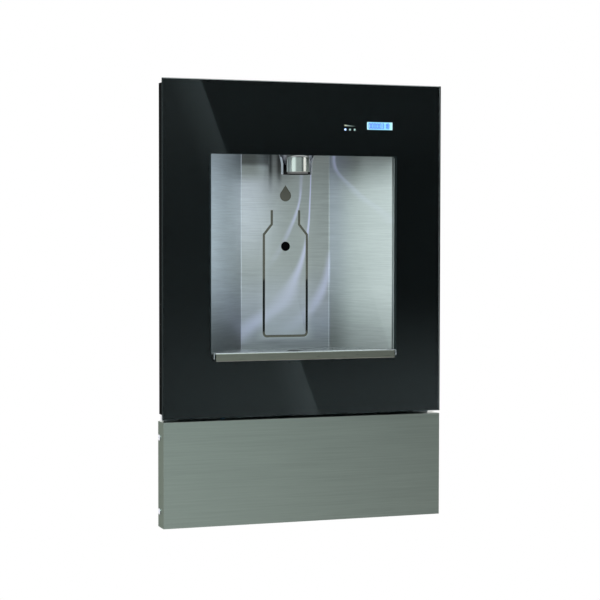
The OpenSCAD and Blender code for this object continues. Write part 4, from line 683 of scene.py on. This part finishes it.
# World: white behind the part, and on the room's side a soft box with one slanted edge, which
# the glass mirrors from its top to its foot. The levels are set against the photograph.
EDGE_TOP, EDGE_FOOT = (-0.1552, 0.3138), (0.0219, -0.1613)
SOFT_BOX_LEVEL, DIFFUSE_LEVEL = 1.25, 0.55
ROOM_TINT, DIFFUSE_TINT = (0.84, 1.0, 1.03, 1), (0.95, 0.97, 1.0, 1)
WHITE = (1, 1, 1, 1)


def mirrored(x, z):
    """The direction that the glass at (x, z) mirrors to the camera."""
    d = Vector((x, GLASS_Y, z)) - EYE
    return Vector((d.x, -d.y, d.z)).normalized()


def world():
    w = bpy.data.worlds.new("studio")
    scene.world = w
    w.use_nodes = True
    t = w.node_tree
    t.nodes.clear()
    out = t.nodes.new("ShaderNodeOutputWorld")
    way = add(t, "TexCoord", out=0)
    n = mirrored(*EDGE_TOP).cross(mirrored(*EDGE_FOOT)).normalized()
    if n.dot(mirrored(-0.25, 0)) < 0:
        n = -n
    side = add(t, "VectorMath", {0: way, 1: tuple(n)}, out=1, operation="DOT_PRODUCT")
    split = t.nodes.new("ShaderNodeSeparateXYZ")
    t.links.new(way, split.inputs[0])
    x, y, z = (split.outputs[k] for k in "XYZ")

    back = smooth(t, y, -0.35, 0.0, 0, 1)
    edge = remap(t, side, -0.0006, 0.0006, 0, 1)
    fade = largest(t, remap(t, side, 0.0, 0.018, 0.85, 0.24), remap(t, side, 0.0, 0.13, 0.28, 0.0))
    outer = remap(t, math_node(t, "ABSOLUTE", z), 0.0, 0.08, 0.5, 1.0)
    glare = product(t, edge, fade, outer)
    left = remap(t, x, 0.26, 0.41, 1, 0)
    ahead = remap(t, left, 0, 1, 0.18, 0.24)
    ahead = math_node(t, "MULTIPLY", ahead, smooth(t, z, 0.03, 0.075, 0.85, 1.35))
    ahead = math_node(t, "ADD", ahead, glare)
    floor_glow = math_node(t, "ADD", remap(t, left, 0, 1, 0.95, 0.42), glare)
    below = remap(t, left, 0, 1, 0.0, 1.05)
    above = remap(t, left, 0, 1, 0.0, 1.1)
    high = remap(t, left, 0, 1, 0.0, 2.9)
    room = blend_value(t, smooth(t, z, -0.03, -0.1, 0, 1), ahead, floor_glow)
    room = blend_value(t, smooth(t, z, -0.112, -0.15, 0, 1), room, below)
    room = blend_value(t, smooth(t, z, 0.1, 0.35, 0, 1), room, above)
    room = blend_value(t, smooth(t, z, 0.35, 0.55, 0, 1), room, high)
    room = blend_value(t, smooth(t, x, -0.45, -0.8, 0, 1), room, SOFT_BOX_LEVEL)
    tint = mixed(t, back, ROOM_TINT, WHITE)
    level = blend_value(t, back, room, 1.0)
    path = t.nodes.new("ShaderNodeLightPath")
    camera_ray = path.outputs["Is Camera Ray"]
    shown = add(t, "Background", {"Color": mixed(t, camera_ray, tint, WHITE),
                                  "Strength": blend_value(t, camera_ray, level, 1.0)})
    soft = add(t, "Background", {"Color": DIFFUSE_TINT, "Strength": DIFFUSE_LEVEL})
    mix = add(t, "MixShader", {0: seen_rays(t, path), 1: soft, 2: shown})
    t.links.new(mix, out.inputs["Surface"])


world()


def area(name, place, aim, size, power):
    data = bpy.data.lights.new(name, "AREA")
    data.shape = "RECTANGLE"
    data.size, data.size_y = size
    data.energy = power
    obj = bpy.data.objects.new(name, data)
    scene.collection.objects.link(obj)
    obj.location = place
    obj.rotation_euler = (Vector(aim) - Vector(place)).to_track_quat("-Z", "Y").to_euler()


area("key", (-1.9, -2.2, 1.7), (0, 0, 0), (1.6, 1.6), 45)
area("fill", (2.2, -1.6, 0.9), (0, 0, 0), (1.4, 1.4), 8)
area("rear", (0.4, 2.4, 1.8), (0, 0, 0), (1.8, 1.8), 40)

scene.view_settings.view_transform = "Standard"
